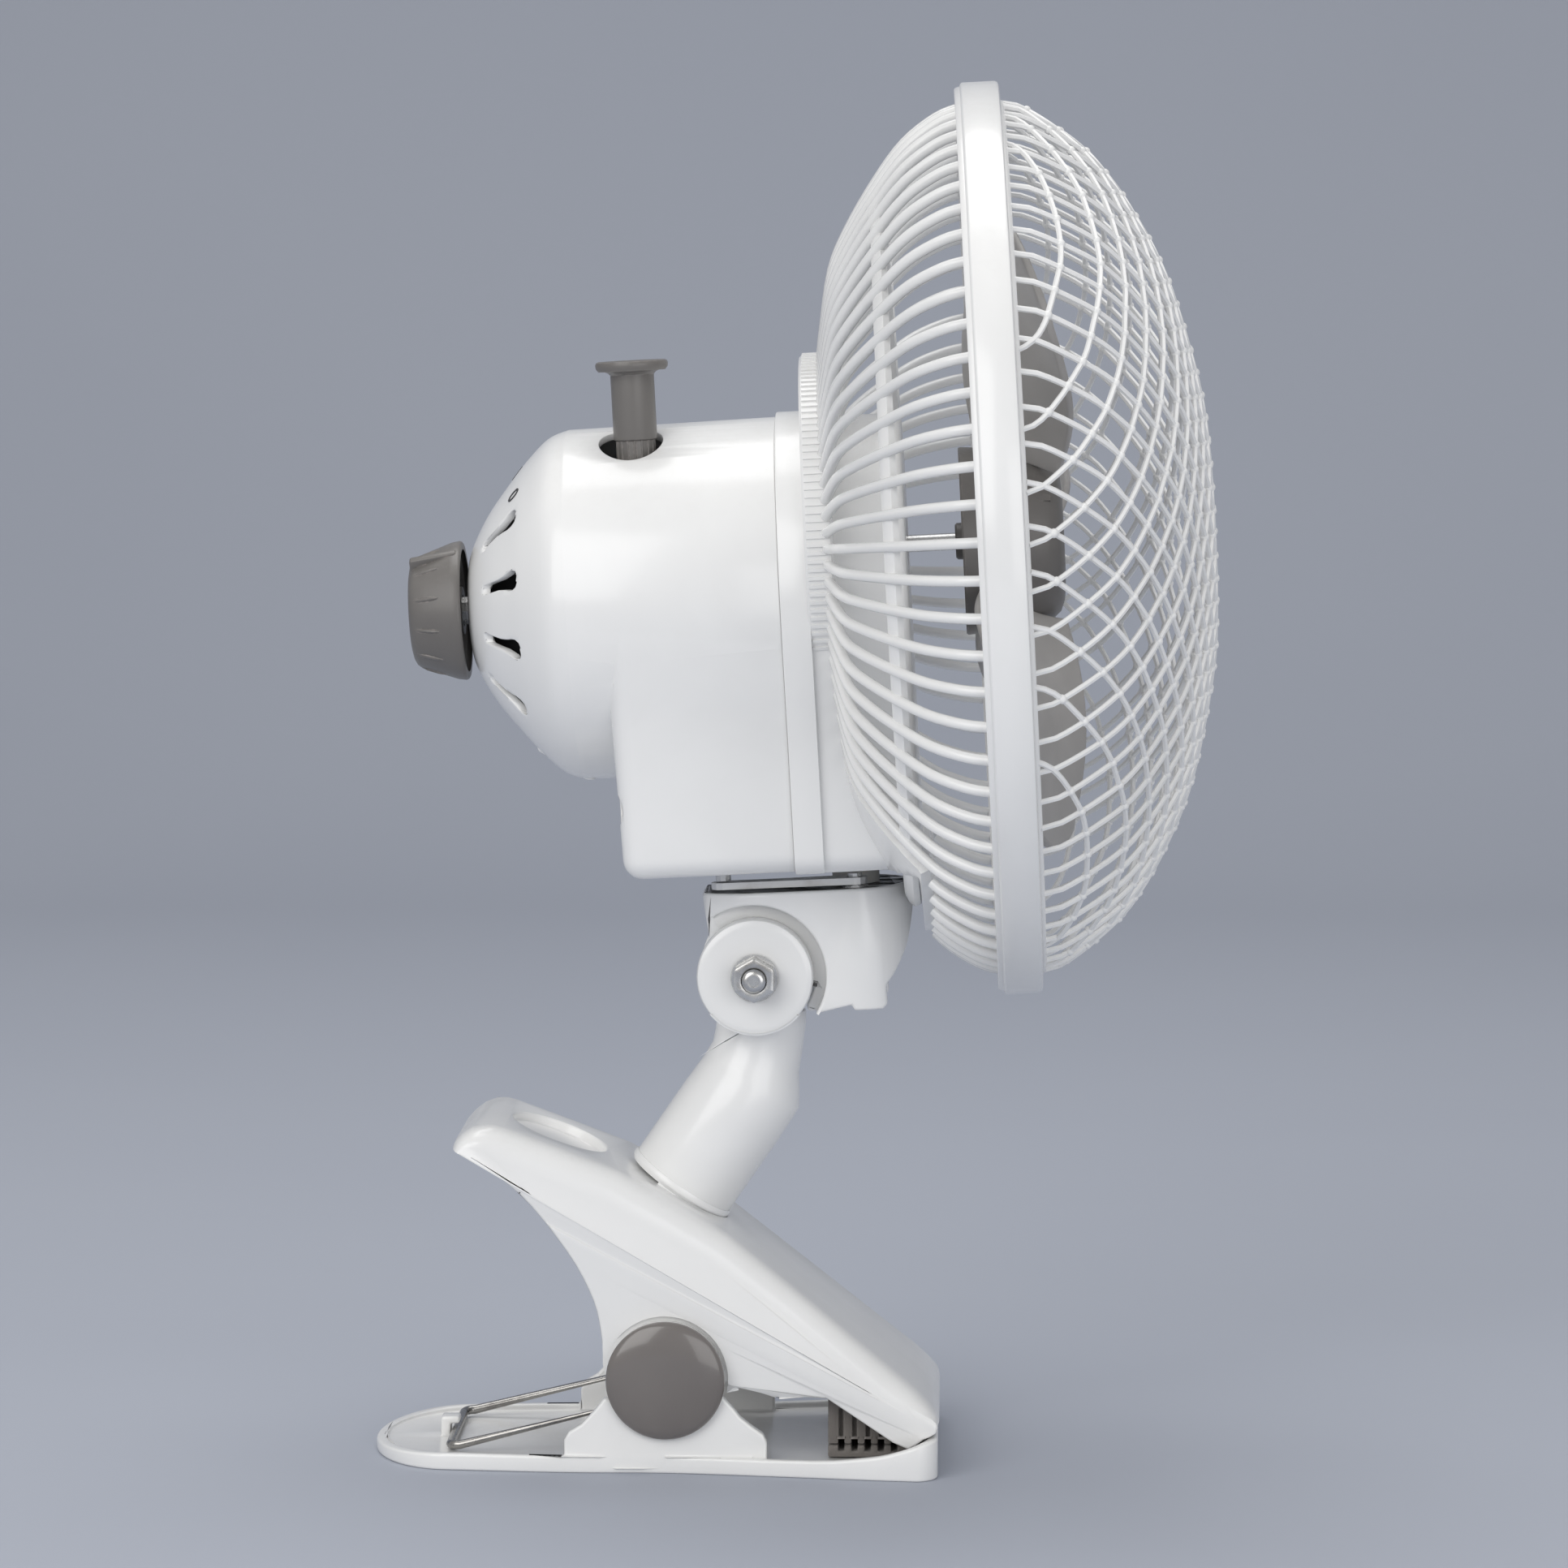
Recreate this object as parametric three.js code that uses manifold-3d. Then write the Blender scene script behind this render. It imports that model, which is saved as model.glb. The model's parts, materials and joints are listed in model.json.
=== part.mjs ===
// A clip fan: a spring clip carries a bent arm, the arm carries a tilting neck, and the neck carries
// an oscillating head with its motor, gears, three-blade impeller and two-part guard.
// Millimetres. +X is the way the fan faces, +Y is away from the plunger's side, +Z is up.
// The origin is on the underside of the lower jaw, straight below the hinge pin.
import * as THREE from 'three';
import { mergeVertices } from 'three/addons/utils/BufferGeometryUtils.js';
import Module from 'manifold-3d';

const wasm = await Module();
wasm.setup();

// ---------------------------------------------------------------- driving dimensions
const gap = 0.3; // between pieces that bear on each other
const wall = 2.2; // moulded plastic wall
const ringSides = 40; // facets of the guard's rings
const roundSides = 20; // facets of a large round piece
const innerSides = 14; // facets of a large round piece inside the housing
const smallSides = 10; // facets of a small round piece
const screwSides = 6;

// clip, along X and up from the underside
const hingeHeight = 19.7;
const hingePinRadius = 2.5;
const hingeCapRadius = 12.3;
const hingeCapCrown = 3.4;
const hingeCapEdge = 0.8;
const earHalfWidth = 28;
const earThickness = 2.7;
const earRadius = 12;
const tailReach = 62.5;
const tailHalfWidth = 26;
const tailRounding = 17.5;
const jawReach = 56.3;
const jawHalfWidth = 35;
const jawCornerRadius = 5;
const trayFloor = 2.2;
const trayRim = 3.5;
const trayLip = 8.4;
const upperWall = 2.4;
const upperFlare = 1.22; // how much wider the upper jaw's nose is than its cheeks at the hinge
const flareStart = 18;
const handleEnd = 45.6; // the handle's tip, rounded in plan from handleRounding before it
const handleRounding = 21;
const thumbX = -23.4; // middle of the oval thumb recess
const thumbZ = 67.3;
const thumbLength = 21;
const thumbWidth = 24;
const thumbDepth = 2.2;
const thumbTilt = 22.3; // degrees
const padStart = 33.5;
const padEnd = 50;
const padHalfWidth = 22.5;
const padFace = 4.9; // height of the lower pad's gripping face
const padGrooves = 5;
const padGrooveWidth = 1.3;
const padGrooveDepth = 1.2;

// torsion spring of the clip
const springWire = 1.9;
const springCoilRadius = 5;
const springTurns = 4;
const coilSteps = 8;
const springPitch = 2.7;
const springHalfWidth = 18;
const springTailX = -45.6;
const springTopX = -17.5;
const springTopZ = 54.5;

// arm
const armFootX = 2;
const armFootZ = 56.2;
const armBendX = 12.8;
const armBendZ = 71.9;
const armLowerRadius = 11.6;
const armNeckRadius = 9.4;
const armBore = 7.6;
const armShape = [
  // [x, z, radius] up the bent tube, after its foot
  [armBendX, armBendZ, armLowerRadius], [15.6, 77, 11], [18, 83.5, 9.8], [18.5, 88, armNeckRadius],
];
const armSpigot = 5;
const armScrewRadius = 1.5;

// tilt joint
const tiltX = 18.1;
const tiltZ = 101.9;
const tiltAtRest = THREE.MathUtils.degToRad(3);
const tiltDiscRadius = 12.1;
const tiltEarOuter = 16;
const tiltEarInner = 10;
const tiltTongueRadius = 8.5;
const tiltBoltRadius = 2.45;
const tiltBoltFit = 0.35;
const tiltWasherRadius = 5;
const tiltWasherThickness = 0.9;
const tiltNutAcross = 8;
const tiltNutHeight = 4;

// neck bracket, from the tilt axis
const cupRim = 17.3;
const cupFloor = 10.6;
const cupRear = -10.3;
const cupHalfWidth = 15;
const cupWall = 1.9;
const bracketPocket = 14.8;
const bracketCheek = 1.1; // beside the arm's room, under each pocket

// pan post and oscillation link, from the tilt axis along X and across
const postX = 21.7;
const postRadius = 4.95;
const postFit = 0.35;
const postBossRadius = 8.2;
const postTop = -47.2; // from the fan axis
const postShoulder = -51; // the head's weight rests here
const postTopRadius = 3.4;
const postScrewRadius = 1.5;
const postScrewHead = 2.6;
const postScrewSeat = 3.4; // depth of its well's end below the cup's floor
const linkPinOffset = -9.8;
const linkPinRadius = 1.5;
const retainerThickness = 1.2;
const linkThickness = 1.4;
const linkHalfWidth = 2.6;

// head: everything below is measured from the fan axis, 87.5 above the tilt axis
const fanRise = 87.5;
const shellRadius = 36.5;
const shellDrop = -9.2;
const shellBottom = -65.3;
const shellFoot = 29;
const coverBottom = -64.2;
const seamX = 10;
const shellFrontX = 36;
const domeStartX = -33.3;
const domeEndX = -56;
const domeSides = 24;
const coverBoxRearX = -27.2;
const flangeRadius = 40.4;
const flangeRearX = 15.5;
const flangeFrontX = 21.4;

// guards
const guardRimRadius = 90.8;
const guardFlange = 1.5;
const ringWall = 2.1;
const ringRadius = guardRimRadius + guardFlange + gap + ringWall;
const ringRearX = 50.3;
const ringFrontX = 59.5;
const ringLip = 1.5;
const guardRimDepth = 2.6;
const flangeThickness = 2.4;
const guardJointX = 54.6; // where the two guards' rims meet
const ribCount = 38; // every second one of the object's 76
const ribWidth = 2.4;
const ribDepth = 2.2;
const webHalfAngle = 37.5; // degrees each side of straight down
const webWallX = 35.4;
const guardApexX = 100.1;
const netPitch = 18; // wider than the object's 6.6
const netStrand = 1.9;
const netDepth = 1.9;
const netSnap = 0.25;

// impeller
const hubRearX = 47.4;
const hubFrontX = 68.5;
const hubRadius = 19.6;
const bladeRoom = 19.3; // between the blades' tip circle and the guards' rims
const bladeTipRadius = guardRimRadius - bladeRoom;
const bladeCount = 3;
const bladeMiddleX = 60.4;
const bladeHalfDepth = 10.6;
const bladeHalfAngle = 27; // degrees
const bladeFirstAngle = 71; // degrees above the near side
const bladeThickness = 1.7;

// motor
const shaftRadius = 1.8;
const shaftRearX = -24.4;
const shaftFrontX = 62;
const stackRearX = 9;
const stackFrontX = 23;
const statorRadius = 23.5;
const rotorRadius = 10.5;
const airGap = 0.5;
const poleCount = 4;
const poleWidth = 8;
const yokeWidth = 4;
const coilWidth = 2.8;
const coilHead = 4;
const bearingSeatRadius = 5.5;
const bearingLength = 6;
const bearingFit = 0.1; // between the shaft's corners and the flats of the bore
const motorScrewRadius = 1.5;
const motorScrewPlace = 19.2;
const frontPlateX = 30.6;
const platingThickness = 2.4;
const housingRearX = -4; // rear face of the gear housing's disc

// gear train
const wormX = -18.7;
const wormLength = 10;
const wormRadius = shaftRadius + 1.3;
const wormMesh = 0.4; // between the worm and the wheel's tips
const wheelOffset = -14;
const wheelRadius = -wheelOffset - wormRadius - wormMesh;
const wheelTeeth = 16;
const wheelThickness = 5;
const sleeveRadius = 2.4;
const pinionTeeth = 8;
const gearTeeth = 20;
const toothTop = 0.5; // above the pitch circle
const toothDepth = 1.3;
const gearThickness = 4.5;
const gearTop = -46;
const crankX = -4.5;
const crankY = -3;
const crankShaftRadius = 2.5;
const crankRadius = 5;
const crankDiscRadius = 8;
const crankDiscTop = -62.9;
const crankPinRadius = 1.6;

// oscillation plunger
const plungerX = wormX;
const plungerFlangeTop = 41.2;
const plungerFlangeRadius = 7.5;
const plungerFlangeThickness = 2.1;
const plungerStemRadius = 4.5;
const plungerStepZ = 25;
const plungerFootRadius = 3.9;
const plungerFootZ = 15;
const plungerHoleRadius = 6.6;
const plungerTravel = 8;
const clutchRodRadius = 1.1;
const clutchRodFoot = -16;

// speed switch and knob
const knobRimX = -56.9;
const knobFaceX = -68.2;
const knobRimRadius = 14.6;
const knobFaceRadius = 11;
const knobWall = 1.8;
const spindleRadius = 3;
const switchHalf = 9.5;
const switchRearX = -50.5;
const switchFrontX = -41.5;

// vents and screws of the rear cover
const ventAngles = [15, 45, -15, -45, 135, 165, 195, 225]; // from the far side, upward
const ventWidth = 1.6;
const ventInner = 19.5;
const ventOuter = 27.5;
const coverScrewRadius = 1.6;
const coverScrewHead = 3;
const coverScrewPlaces = [[26.2, -50], [-26.2, -50]];
const coverScrewSeat = -12;
const coverScrewBoss = 3.2;

// cord inlet
const cordX = -38.5;
const cordHoleRadius = 4.2;
const glandTop = -32;
const glandLip = 1.2;
const glandBore = 2.2;
const glandLength = 7.4;
const glandPadRearX = -43.2;
const glandPadHalf = 6.5;
const glandPadLength = 12;
const glandPadTop = -28;
const glandPadCorner = -38.9; // the rear face ends here and the flat slopes down to glandPadLow
const glandPadLow = -45.6;

// ---------------------------------------------------------------- materials
const finish = (name, color, roughness, metalness) => {
  const material = new THREE.MeshStandardMaterial({ color, roughness, metalness });
  material.name = name;
  return material;
};
const white = finish('white gloss plastic', 0xf0f0ef, 0.25, 0);
const grey = finish('grey plastic', 0x6f6a68, 0.4, 0);
const dark = finish('dark plastic', 0x2b2b2d, 0.5, 0);
const rubber = finish('grey rubber', 0x77726f, 0.8, 0);
const steel = finish('plated steel', 0xb9bbbd, 0.3, 1);
const wire = finish('nickel wire', 0xa9a8a6, 0.3, 1);
const zinc = finish('cast zinc', 0x9a9da0, 0.5, 1);
const laminated = finish('laminated steel', 0x6c7075, 0.5, 1);
const copper = finish('enamelled copper', 0xa7532a, 0.4, 1);
const brass = finish('brass', 0xb5914a, 0.35, 1);
const nylon = finish('natural nylon', 0xe6e0d0, 0.5, 0);

// ---------------------------------------------------------------- solids
function solidOf(geometry) {
  const bare = new THREE.BufferGeometry();
  const source = geometry.index ? geometry.toNonIndexed() : geometry;
  bare.setAttribute('position', source.getAttribute('position'));
  const merged = mergeVertices(bare, 1e-4);
  const vertProperties = new Float32Array(merged.attributes.position.array);
  const triVerts = new Uint32Array(merged.index.array);
  const made = new wasm.Manifold(new wasm.Mesh({ numProp: 3, vertProperties, triVerts }));
  if (made.volume() > 0) return made;
  for (let i = 0; i < triVerts.length; i += 3) {
    [triVerts[i + 1], triVerts[i + 2]] = [triVerts[i + 2], triVerts[i + 1]];
  }
  return new wasm.Manifold(new wasm.Mesh({ numProp: 3, vertProperties, triVerts }));
}

function meshOf(name, solid, material) {
  const { vertProperties, triVerts } = solid.getMesh();
  const indexed = new THREE.BufferGeometry();
  indexed.setAttribute('position', new THREE.BufferAttribute(new Float32Array(vertProperties), 3));
  indexed.setIndex(new THREE.BufferAttribute(new Uint32Array(triVerts), 1));
  const geometry = indexed.toNonIndexed();
  geometry.computeVertexNormals();
  const mesh = new THREE.Mesh(geometry, material);
  mesh.name = name;
  return mesh;
}

// turns the local (u, v, w) of a flat outline and its depth, or of a lathe, onto the object's axes
const onto = {
  x: new THREE.Matrix4().set(0, 0, 1, 0, 1, 0, 0, 0, 0, 1, 0, 0, 0, 0, 0, 1),
  y: new THREE.Matrix4().set(1, 0, 0, 0, 0, 0, 1, 0, 0, 1, 0, 0, 0, 0, 0, 1),
  z: new THREE.Matrix4(),
};
const latheOnto = {
  x: new THREE.Matrix4().set(0, 1, 0, 0, 0, 0, 1, 0, 1, 0, 0, 0, 0, 0, 0, 1),
  y: new THREE.Matrix4(),
  z: new THREE.Matrix4().set(0, 0, 1, 0, 1, 0, 0, 0, 0, 1, 0, 0, 0, 0, 0, 1),
};

// an outline pushed along an axis: (y, z) outlines along x, (x, z) along y, (x, y) along z
function plate(axis, outline, from, to, bevel = 0) {
  const shape = new THREE.Shape(outline.map(([u, v]) => new THREE.Vector2(u, v)));
  const geometry = new THREE.ExtrudeGeometry(shape, {
    depth: to - from - 2 * bevel,
    steps: 1,
    bevelEnabled: bevel > 0,
    bevelThickness: bevel,
    bevelSize: bevel,
    bevelOffset: -bevel,
    bevelSegments: 3,
  });
  geometry.translate(0, 0, from + bevel);
  geometry.applyMatrix4(onto[axis]);
  return solidOf(geometry);
}

// a profile of [along, radius] points spun about a line parallel to an axis
function turned(axis, profile, sides = roundSides, centre = [0, 0, 0]) {
  const points = profile.map(([along, radius]) => new THREE.Vector2(radius, along));
  const geometry = new THREE.LatheGeometry(points, sides);
  geometry.applyMatrix4(latheOnto[axis]);
  geometry.translate(...centre);
  return solidOf(geometry);
}

function rod(axis, radius, from, to, centre = [0, 0, 0], sides = smallSides) {
  return turned(axis, [[from, 0], [from, radius], [to, radius], [to, 0]], sides, centre);
}

function tube(axis, outer, inner, from, to, centre = [0, 0, 0], sides = smallSides) {
  const profile = [[from, inner], [from, outer], [to, outer], [to, inner], [from, inner]];
  return turned(axis, profile, sides, centre);
}

function block(x0, x1, y0, y1, z0, z1) {
  const geometry = new THREE.BoxGeometry(x1 - x0, y1 - y0, z1 - z0);
  geometry.translate((x0 + x1) / 2, (y0 + y1) / 2, (z0 + z1) / 2);
  return solidOf(geometry);
}

const joined = (...solids) => solids.reduce((all, one) => all.add(one));
const cutBy = (solid, ...tools) => tools.reduce((left, tool) => left.subtract(tool), solid);

// points of an arc about (u, v), in degrees
function arc(u, v, radius, from, to, steps) {
  return Array.from({ length: steps + 1 }, (_, i) => {
    const angle = THREE.MathUtils.degToRad(from + ((to - from) * i) / steps);
    return [u + radius * Math.cos(angle), v + radius * Math.sin(angle)];
  });
}

const mirrored = (half) => [...half, ...half.map(([u, v]) => [-u, v]).reverse()];

// A thin shell over a grid of cells. A filled cell has a skin on each side, and a wall on each edge
// where its neighbour is open.
function cellShell(rows, columns, wraps, isFilled, outer, inner) {
  const positions = [];
  const column = (j) => (wraps ? (j + columns) % columns : j);
  const filled = (k, j) => {
    if (k < 0 || k >= rows) return false;
    if (!wraps && (j < 0 || j >= columns)) return false;
    return isFilled(k, column(j));
  };
  const quad = (a, b, c, d) => positions.push(...a, ...b, ...c, ...a, ...c, ...d);
  for (let k = 0; k < rows; k++) {
    for (let j = 0; j < columns; j++) {
      if (!filled(k, j)) continue;
      const corners = [[k, j], [k + 1, j], [k + 1, j + 1], [k, j + 1]];
      const neighbours = [[k, j - 1], [k + 1, j], [k, j + 1], [k - 1, j]];
      const out = corners.map(([row, col]) => outer(row, wraps ? column(col) : col));
      const into = corners.map(([row, col]) => inner(row, wraps ? column(col) : col));
      quad(out[0], out[1], out[2], out[3]);
      quad(into[0], into[3], into[2], into[1]);
      neighbours.forEach(([row, col], side) => {
        const next = (side + 1) % 4;
        if (!filled(row, col)) quad(out[next], out[side], into[side], into[next]);
      });
    }
  }
  const geometry = new THREE.BufferGeometry();
  geometry.setAttribute('position', new THREE.Float32BufferAttribute(positions, 3));
  return solidOf(geometry);
}

// outward normals of a profile of [along, radius] points
function normalsOf(profile) {
  return profile.map((_, k) => {
    const [x0, r0] = profile[Math.max(k - 1, 0)];
    const [x1, r1] = profile[Math.min(k + 1, profile.length - 1)];
    const length = Math.hypot(x1 - x0, r1 - r0);
    return [(r1 - r0) / length, (x1 - x0) / length];
  });
}

// Each tooth's space is centred a quarter of a pitch along, and its tip three quarters along.
function gearOutline(teeth, outerRadius, depth, centreU, centreV, turn = 0) {
  const outline = [];
  for (let i = 0; i < teeth; i++) {
    for (const [part, radius] of [[0, 0], [0.5, 0], [0.63, 1], [0.87, 1]]) {
      const angle = turn + ((i + part) / teeth) * 2 * Math.PI;
      const reach = outerRadius - depth + depth * radius;
      outline.push([centreU + reach * Math.cos(angle), centreV + reach * Math.sin(angle)]);
    }
  }
  return outline;
}

// ---------------------------------------------------------------- clip
function trayOutline(inset) {
  const half = [];
  const tail = tailReach - inset;
  for (let step = 0; step <= 6; step++) {
    const angle = (step / 6) * (Math.PI / 2);
    const x = -tail + tailRounding * (1 - Math.cos(angle));
    half.push([x, (tailHalfWidth - inset) * Math.sin(angle)]);
  }
  half.push([0, earHalfWidth - inset], [jawReach - 2.6 * jawCornerRadius, jawHalfWidth - inset - 1]);
  const corner = jawCornerRadius;
  const cornerX = jawReach - inset - corner;
  half.push(...arc(cornerX, jawHalfWidth - inset - corner, corner, 90, 0, 3));
  const other = half.slice(1).map(([x, y]) => [x, -y]).reverse();
  return [...half, ...other];
}

function earOutline() {
  const foot = trayFloor / 2;
  return [
    [21, foot], [21, 7.4], [16.6, 11],
    ...arc(0, hingeHeight, earRadius, -26, 206, 14),
    [-14.6, 13.4], [-17.5, 9.9], [-21, 8.2], [-21, foot],
  ];
}

function lowerJaw() {
  const height = 30;
  const sideProfile = [
    [-tailReach - 1, 0], [jawReach + 1, 0], [jawReach + 1, trayLip], [jawReach - 5, trayLip - 1.2],
    [jawReach - 16, trayRim + 0.9], [jawReach - 30, trayRim], [-tailReach + 17, trayRim],
    [-tailReach - 1, trayRim - 1],
  ];
  const outside = plate('z', trayOutline(0), 0, height);
  const sides = plate('y', sideProfile, -jawHalfWidth - 1, jawHalfWidth + 1);
  const hollow = plate('z', trayOutline(wall), trayFloor, height);
  const pinHole = rod('y', hingePinRadius + gap, -earHalfWidth - 1, earHalfWidth + 1, [0, 0, hingeHeight]);
  const ears = [-1, 1].map((side) => {
    const faces = [side * earHalfWidth, side * (earHalfWidth - earThickness)].sort((a, b) => a - b);
    return plate('y', earOutline(), faces[0], faces[1]);
  });
  const catchX = springTailX - springWire / 2 - gap;
  const wireTop = trayFloor + gap + springWire;
  const catchPost = block(catchX - 2, catchX, -2.5, 2.5, trayFloor / 2, wireTop + 2);
  const catchLip = block(catchX - 2, catchX + springWire, -2.5, 2.5, wireTop + 0.5, wireTop + 2);
  const tray = outside.intersect(sides).subtract(hollow);
  return cutBy(joined(tray, ...ears, catchPost, catchLip), pinHole);
}

function lowerPad() {
  const pad = block(padStart, padEnd, -padHalfWidth, padHalfWidth, trayFloor + gap, padFace);
  return cutBy(pad, ...padGrooveCuts(padFace - padGrooveDepth, padFace + 1));
}

function padGrooveCuts(bottom, top) {
  const pitch = (padEnd - padStart) / (padGrooves + 1);
  return Array.from({ length: padGrooves }, (_, i) => {
    const x = padStart + pitch * (i + 1);
    const reach = padHalfWidth + 1;
    const half = padGrooveWidth / 2;
    return block(x - half, x + half, -reach, reach, bottom, top);
  });
}

// The upper jaw's side outline. The top runs from the handle's tip to the nose, and its third number
// is how much of the shoulder's rounding the point takes.
const upperTop = [
  [-44.6, 66.6, 0.25], [-42.4, 69.8, 0.5], [-38.1, 71.5, 0.8], [-34, 71, 1], [-9.9, 62, 1],
  [12.7, 48.9, 1], [42.7, 24.8, 1], [51.5, 17.7, 0.8], [56.1, 12.7, 0.3], [56.6, 11, 0.1],
];
const upperUnder = [
  [56.1, 9.3], [53.3, 7.8], [50.2, 5.7], [33.3, 15.8], [27.6, 15.9], [19.8, 15], [13.6, 13.6],
];
const upperBack = [[-13.1, 22.3], [-13.3, 27.4], [-15, 35.5], [-20.4, 45.7], [-30.6, 58.1]];
const cheekOuter = earHalfWidth - earThickness - gap;
const shoulder = 6;

function topNormal(index) {
  const [x0, z0] = upperTop[Math.max(index - 1, 0)];
  const [x1, z1] = upperTop[Math.min(index + 1, upperTop.length - 1)];
  const length = Math.hypot(x1 - x0, z1 - z0);
  return [-(z1 - z0) / length, (x1 - x0) / length];
}

// A hood between the cheeks: the top outline drops toward each cheek by the shoulder's rounding,
// and the sides spread toward the nose.
function hood(rest, halfWidth, inset) {
  const steps = 2;
  const half = Array.from({ length: steps + 1 }, (_, step) => {
    const angle = (step / steps) * (Math.PI / 2);
    const round = shoulder - inset;
    return [halfWidth - round * (1 - Math.cos(angle)), round * (1 - Math.sin(angle))];
  });
  const stations = [...half.map(([y, drop]) => [-y, drop]), ...half.reverse()];
  const rings = stations.map(([y, drop]) => {
    const top = upperTop.map(([x, z, share], i) => {
      const [normalX, normalZ] = topNormal(i);
      const down = inset + drop * share;
      return [x - normalX * down, z - normalZ * down];
    });
    return [...top, ...rest].map(([x, z]) => {
      const along = THREE.MathUtils.clamp((x - flareStart) / (jawReach - flareStart), 0, 1);
      return [x, y * (1 + (upperFlare - 1) * along), z];
    });
  });
  return skinned(rings);
}

// a solid through closed rings of points that lie in planes across Y, with flat ends
function skinned(rings) {
  const positions = [];
  const count = rings[0].length;
  for (let k = 1; k < rings.length; k++) {
    for (let i = 0; i < count; i++) {
      const next = (i + 1) % count;
      const [a, b, c, d] = [rings[k - 1][i], rings[k][i], rings[k][next], rings[k - 1][next]];
      positions.push(...a, ...b, ...c, ...a, ...c, ...d);
    }
  }
  const contour = rings[0].map(([x, , z]) => new THREE.Vector2(x, z));
  for (const [a, b, c] of THREE.ShapeUtils.triangulateShape(contour, [])) {
    const last = rings[rings.length - 1];
    const forward = THREE.ShapeUtils.area(contour) > 0;
    const near = forward ? [a, b, c] : [a, c, b];
    near.forEach((i) => positions.push(...rings[0][i]));
    [...near].reverse().forEach((i) => positions.push(...last[i]));
  }
  const geometry = new THREE.BufferGeometry();
  geometry.setAttribute('position', new THREE.Float32BufferAttribute(positions, 3));
  return solidOf(geometry);
}

function armAxis() {
  return new THREE.Vector3(armBendX - armFootX, 0, armBendZ - armFootZ).normalize();
}

// a round bar between two points in the XZ plane
function slantedRod(radius, from, to, sides = smallSides) {
  const start = new THREE.Vector3(from[0], 0, from[1]);
  const along = new THREE.Vector3(to[0], 0, to[1]).sub(start);
  const geometry = new THREE.CylinderGeometry(radius, radius, along.length(), sides);
  geometry.translate(0, along.length() / 2, 0);
  const up = new THREE.Vector3(0, 1, 0);
  geometry.applyQuaternion(new THREE.Quaternion().setFromUnitVectors(up, along.normalize()));
  geometry.translate(start.x, 0, start.z);
  return solidOf(geometry);
}

// a point on the lower arm's centre line, so many millimetres above its foot
function armPoint(distance) {
  const axis = armAxis();
  return [armFootX + axis.x * distance, armFootZ + axis.z * distance];
}

// the upper jaw's outline seen from above: a round-ended handle, open at the nose
function handlePlan(inset) {
  const middle = -handleEnd + handleRounding;
  const round = arc(0, 0, 1, 90, 270, 10).map(([u, v]) => {
    return [middle + u * (handleRounding - inset), v * (cheekOuter + 1 - inset)];
  });
  return plate('z', [[80, -50], [80, 50], [middle, 50], ...round, [middle, -50]], -20, 90);
}

// an oval plug square to the handle's top
function thumbOval(wider, low) {
  const outline = arc(0, 0, 1, 0, 330, 11).map(([u, v]) => {
    return [u * (thumbLength / 2 + wider), v * (thumbWidth / 2 + wider)];
  });
  return plate('z', outline, low, 6).rotate([0, thumbTilt, 0]).translate([thumbX, 0, thumbZ]);
}

function upperJaw() {
  const boss = arc(0, hingeHeight, earRadius, -35, -172, 8);
  const body = hood([...upperUnder, ...boss, ...upperBack], cheekOuter, 0).intersect(handlePlan(0));
  const inside = hood([[58, 2], [30, -6], [0, -6], [-25, 0], [-58, 54]], cheekOuter - upperWall, upperWall);
  const thumbFloor = thumbOval(upperWall, -thumbDepth - upperWall);
  const hollow = inside.intersect(handlePlan(upperWall)).subtract(thumbFloor);
  const socket = slantedRod(armBore + gap, armPoint(-12), armPoint(6));
  const seat = slantedRod(armLowerRadius + gap, armPoint(-1.2), armPoint(12), roundSides);
  const springRest = plate('y', springRestOutline(), -cheekOuter + 1, cheekOuter - 1);
  const padRest = plate('y', padRestOutline(), -cheekOuter + 1, cheekOuter - 1);
  const shell = joined(body.subtract(hollow), springRest.intersect(body), padRest.intersect(body));
  const pinHole = rod('y', hingePinRadius + gap, -earHalfWidth, earHalfWidth, [0, 0, hingeHeight]);
  const screwHoles = armScrewPlaces().map(([from, to]) => slantedRod(armScrewRadius + gap, from, to, 8));
  const earRooms = [-1, 1].map((side) => {
    const faces = [side * cheekOuter, side * 40].sort((a, b) => a - b);
    return rod('y', earRadius + 3 * gap, faces[0], faces[1], [0, 0, hingeHeight], roundSides);
  });
  return cutBy(shell, pinHole, seat, socket, thumbOval(0, -thumbDepth), ...screwHoles, ...earRooms);
}

function springRestOutline() {
  const x = springTopX;
  const z = springTopZ + springWire / 2 + gap;
  return [[x - 5, z + 2.2], [x + 4, z - 1.6], [x + 9, z + 3], [x + 4, z + 12], [x - 9, z + 14]];
}

function padRestOutline() {
  const thick = 2;
  return [[padStart - 1, 18.4], [padStart - 1, 18.4 + thick], [54, 9.9 + thick], [54, 9.9]];
}

function upperPad() {
  const top = [[padStart, 17.4], [padEnd + 0.4, 9.9]];
  const outline = [[padStart, padFace + gap], [padEnd - 2, padFace + gap], [padEnd + 0.4, 7.4], top[1], top[0]];
  const pad = plate('y', outline, -padHalfWidth + 0.6, padHalfWidth - 0.6);
  return cutBy(pad, ...padGrooveCuts(padFace - 1, padFace + gap + padGrooveDepth));
}

function hingeCap(side) {
  const face = earHalfWidth + gap;
  const profile = [[face, 0], [face, hingeCapRadius]];
  const steps = 4;
  for (let step = 0; step <= steps; step++) {
    const angle = (step / steps) * (Math.PI / 2);
    const radius = step === steps ? 0 : hingeCapRadius * Math.cos(angle);
    profile.push([face + hingeCapEdge + (hingeCapCrown - hingeCapEdge) * Math.sin(angle), radius]);
  }
  const along = profile.map(([y, radius]) => [side * y, radius]);
  return turned('y', along, innerSides, [0, 0, hingeHeight]);
}

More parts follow.
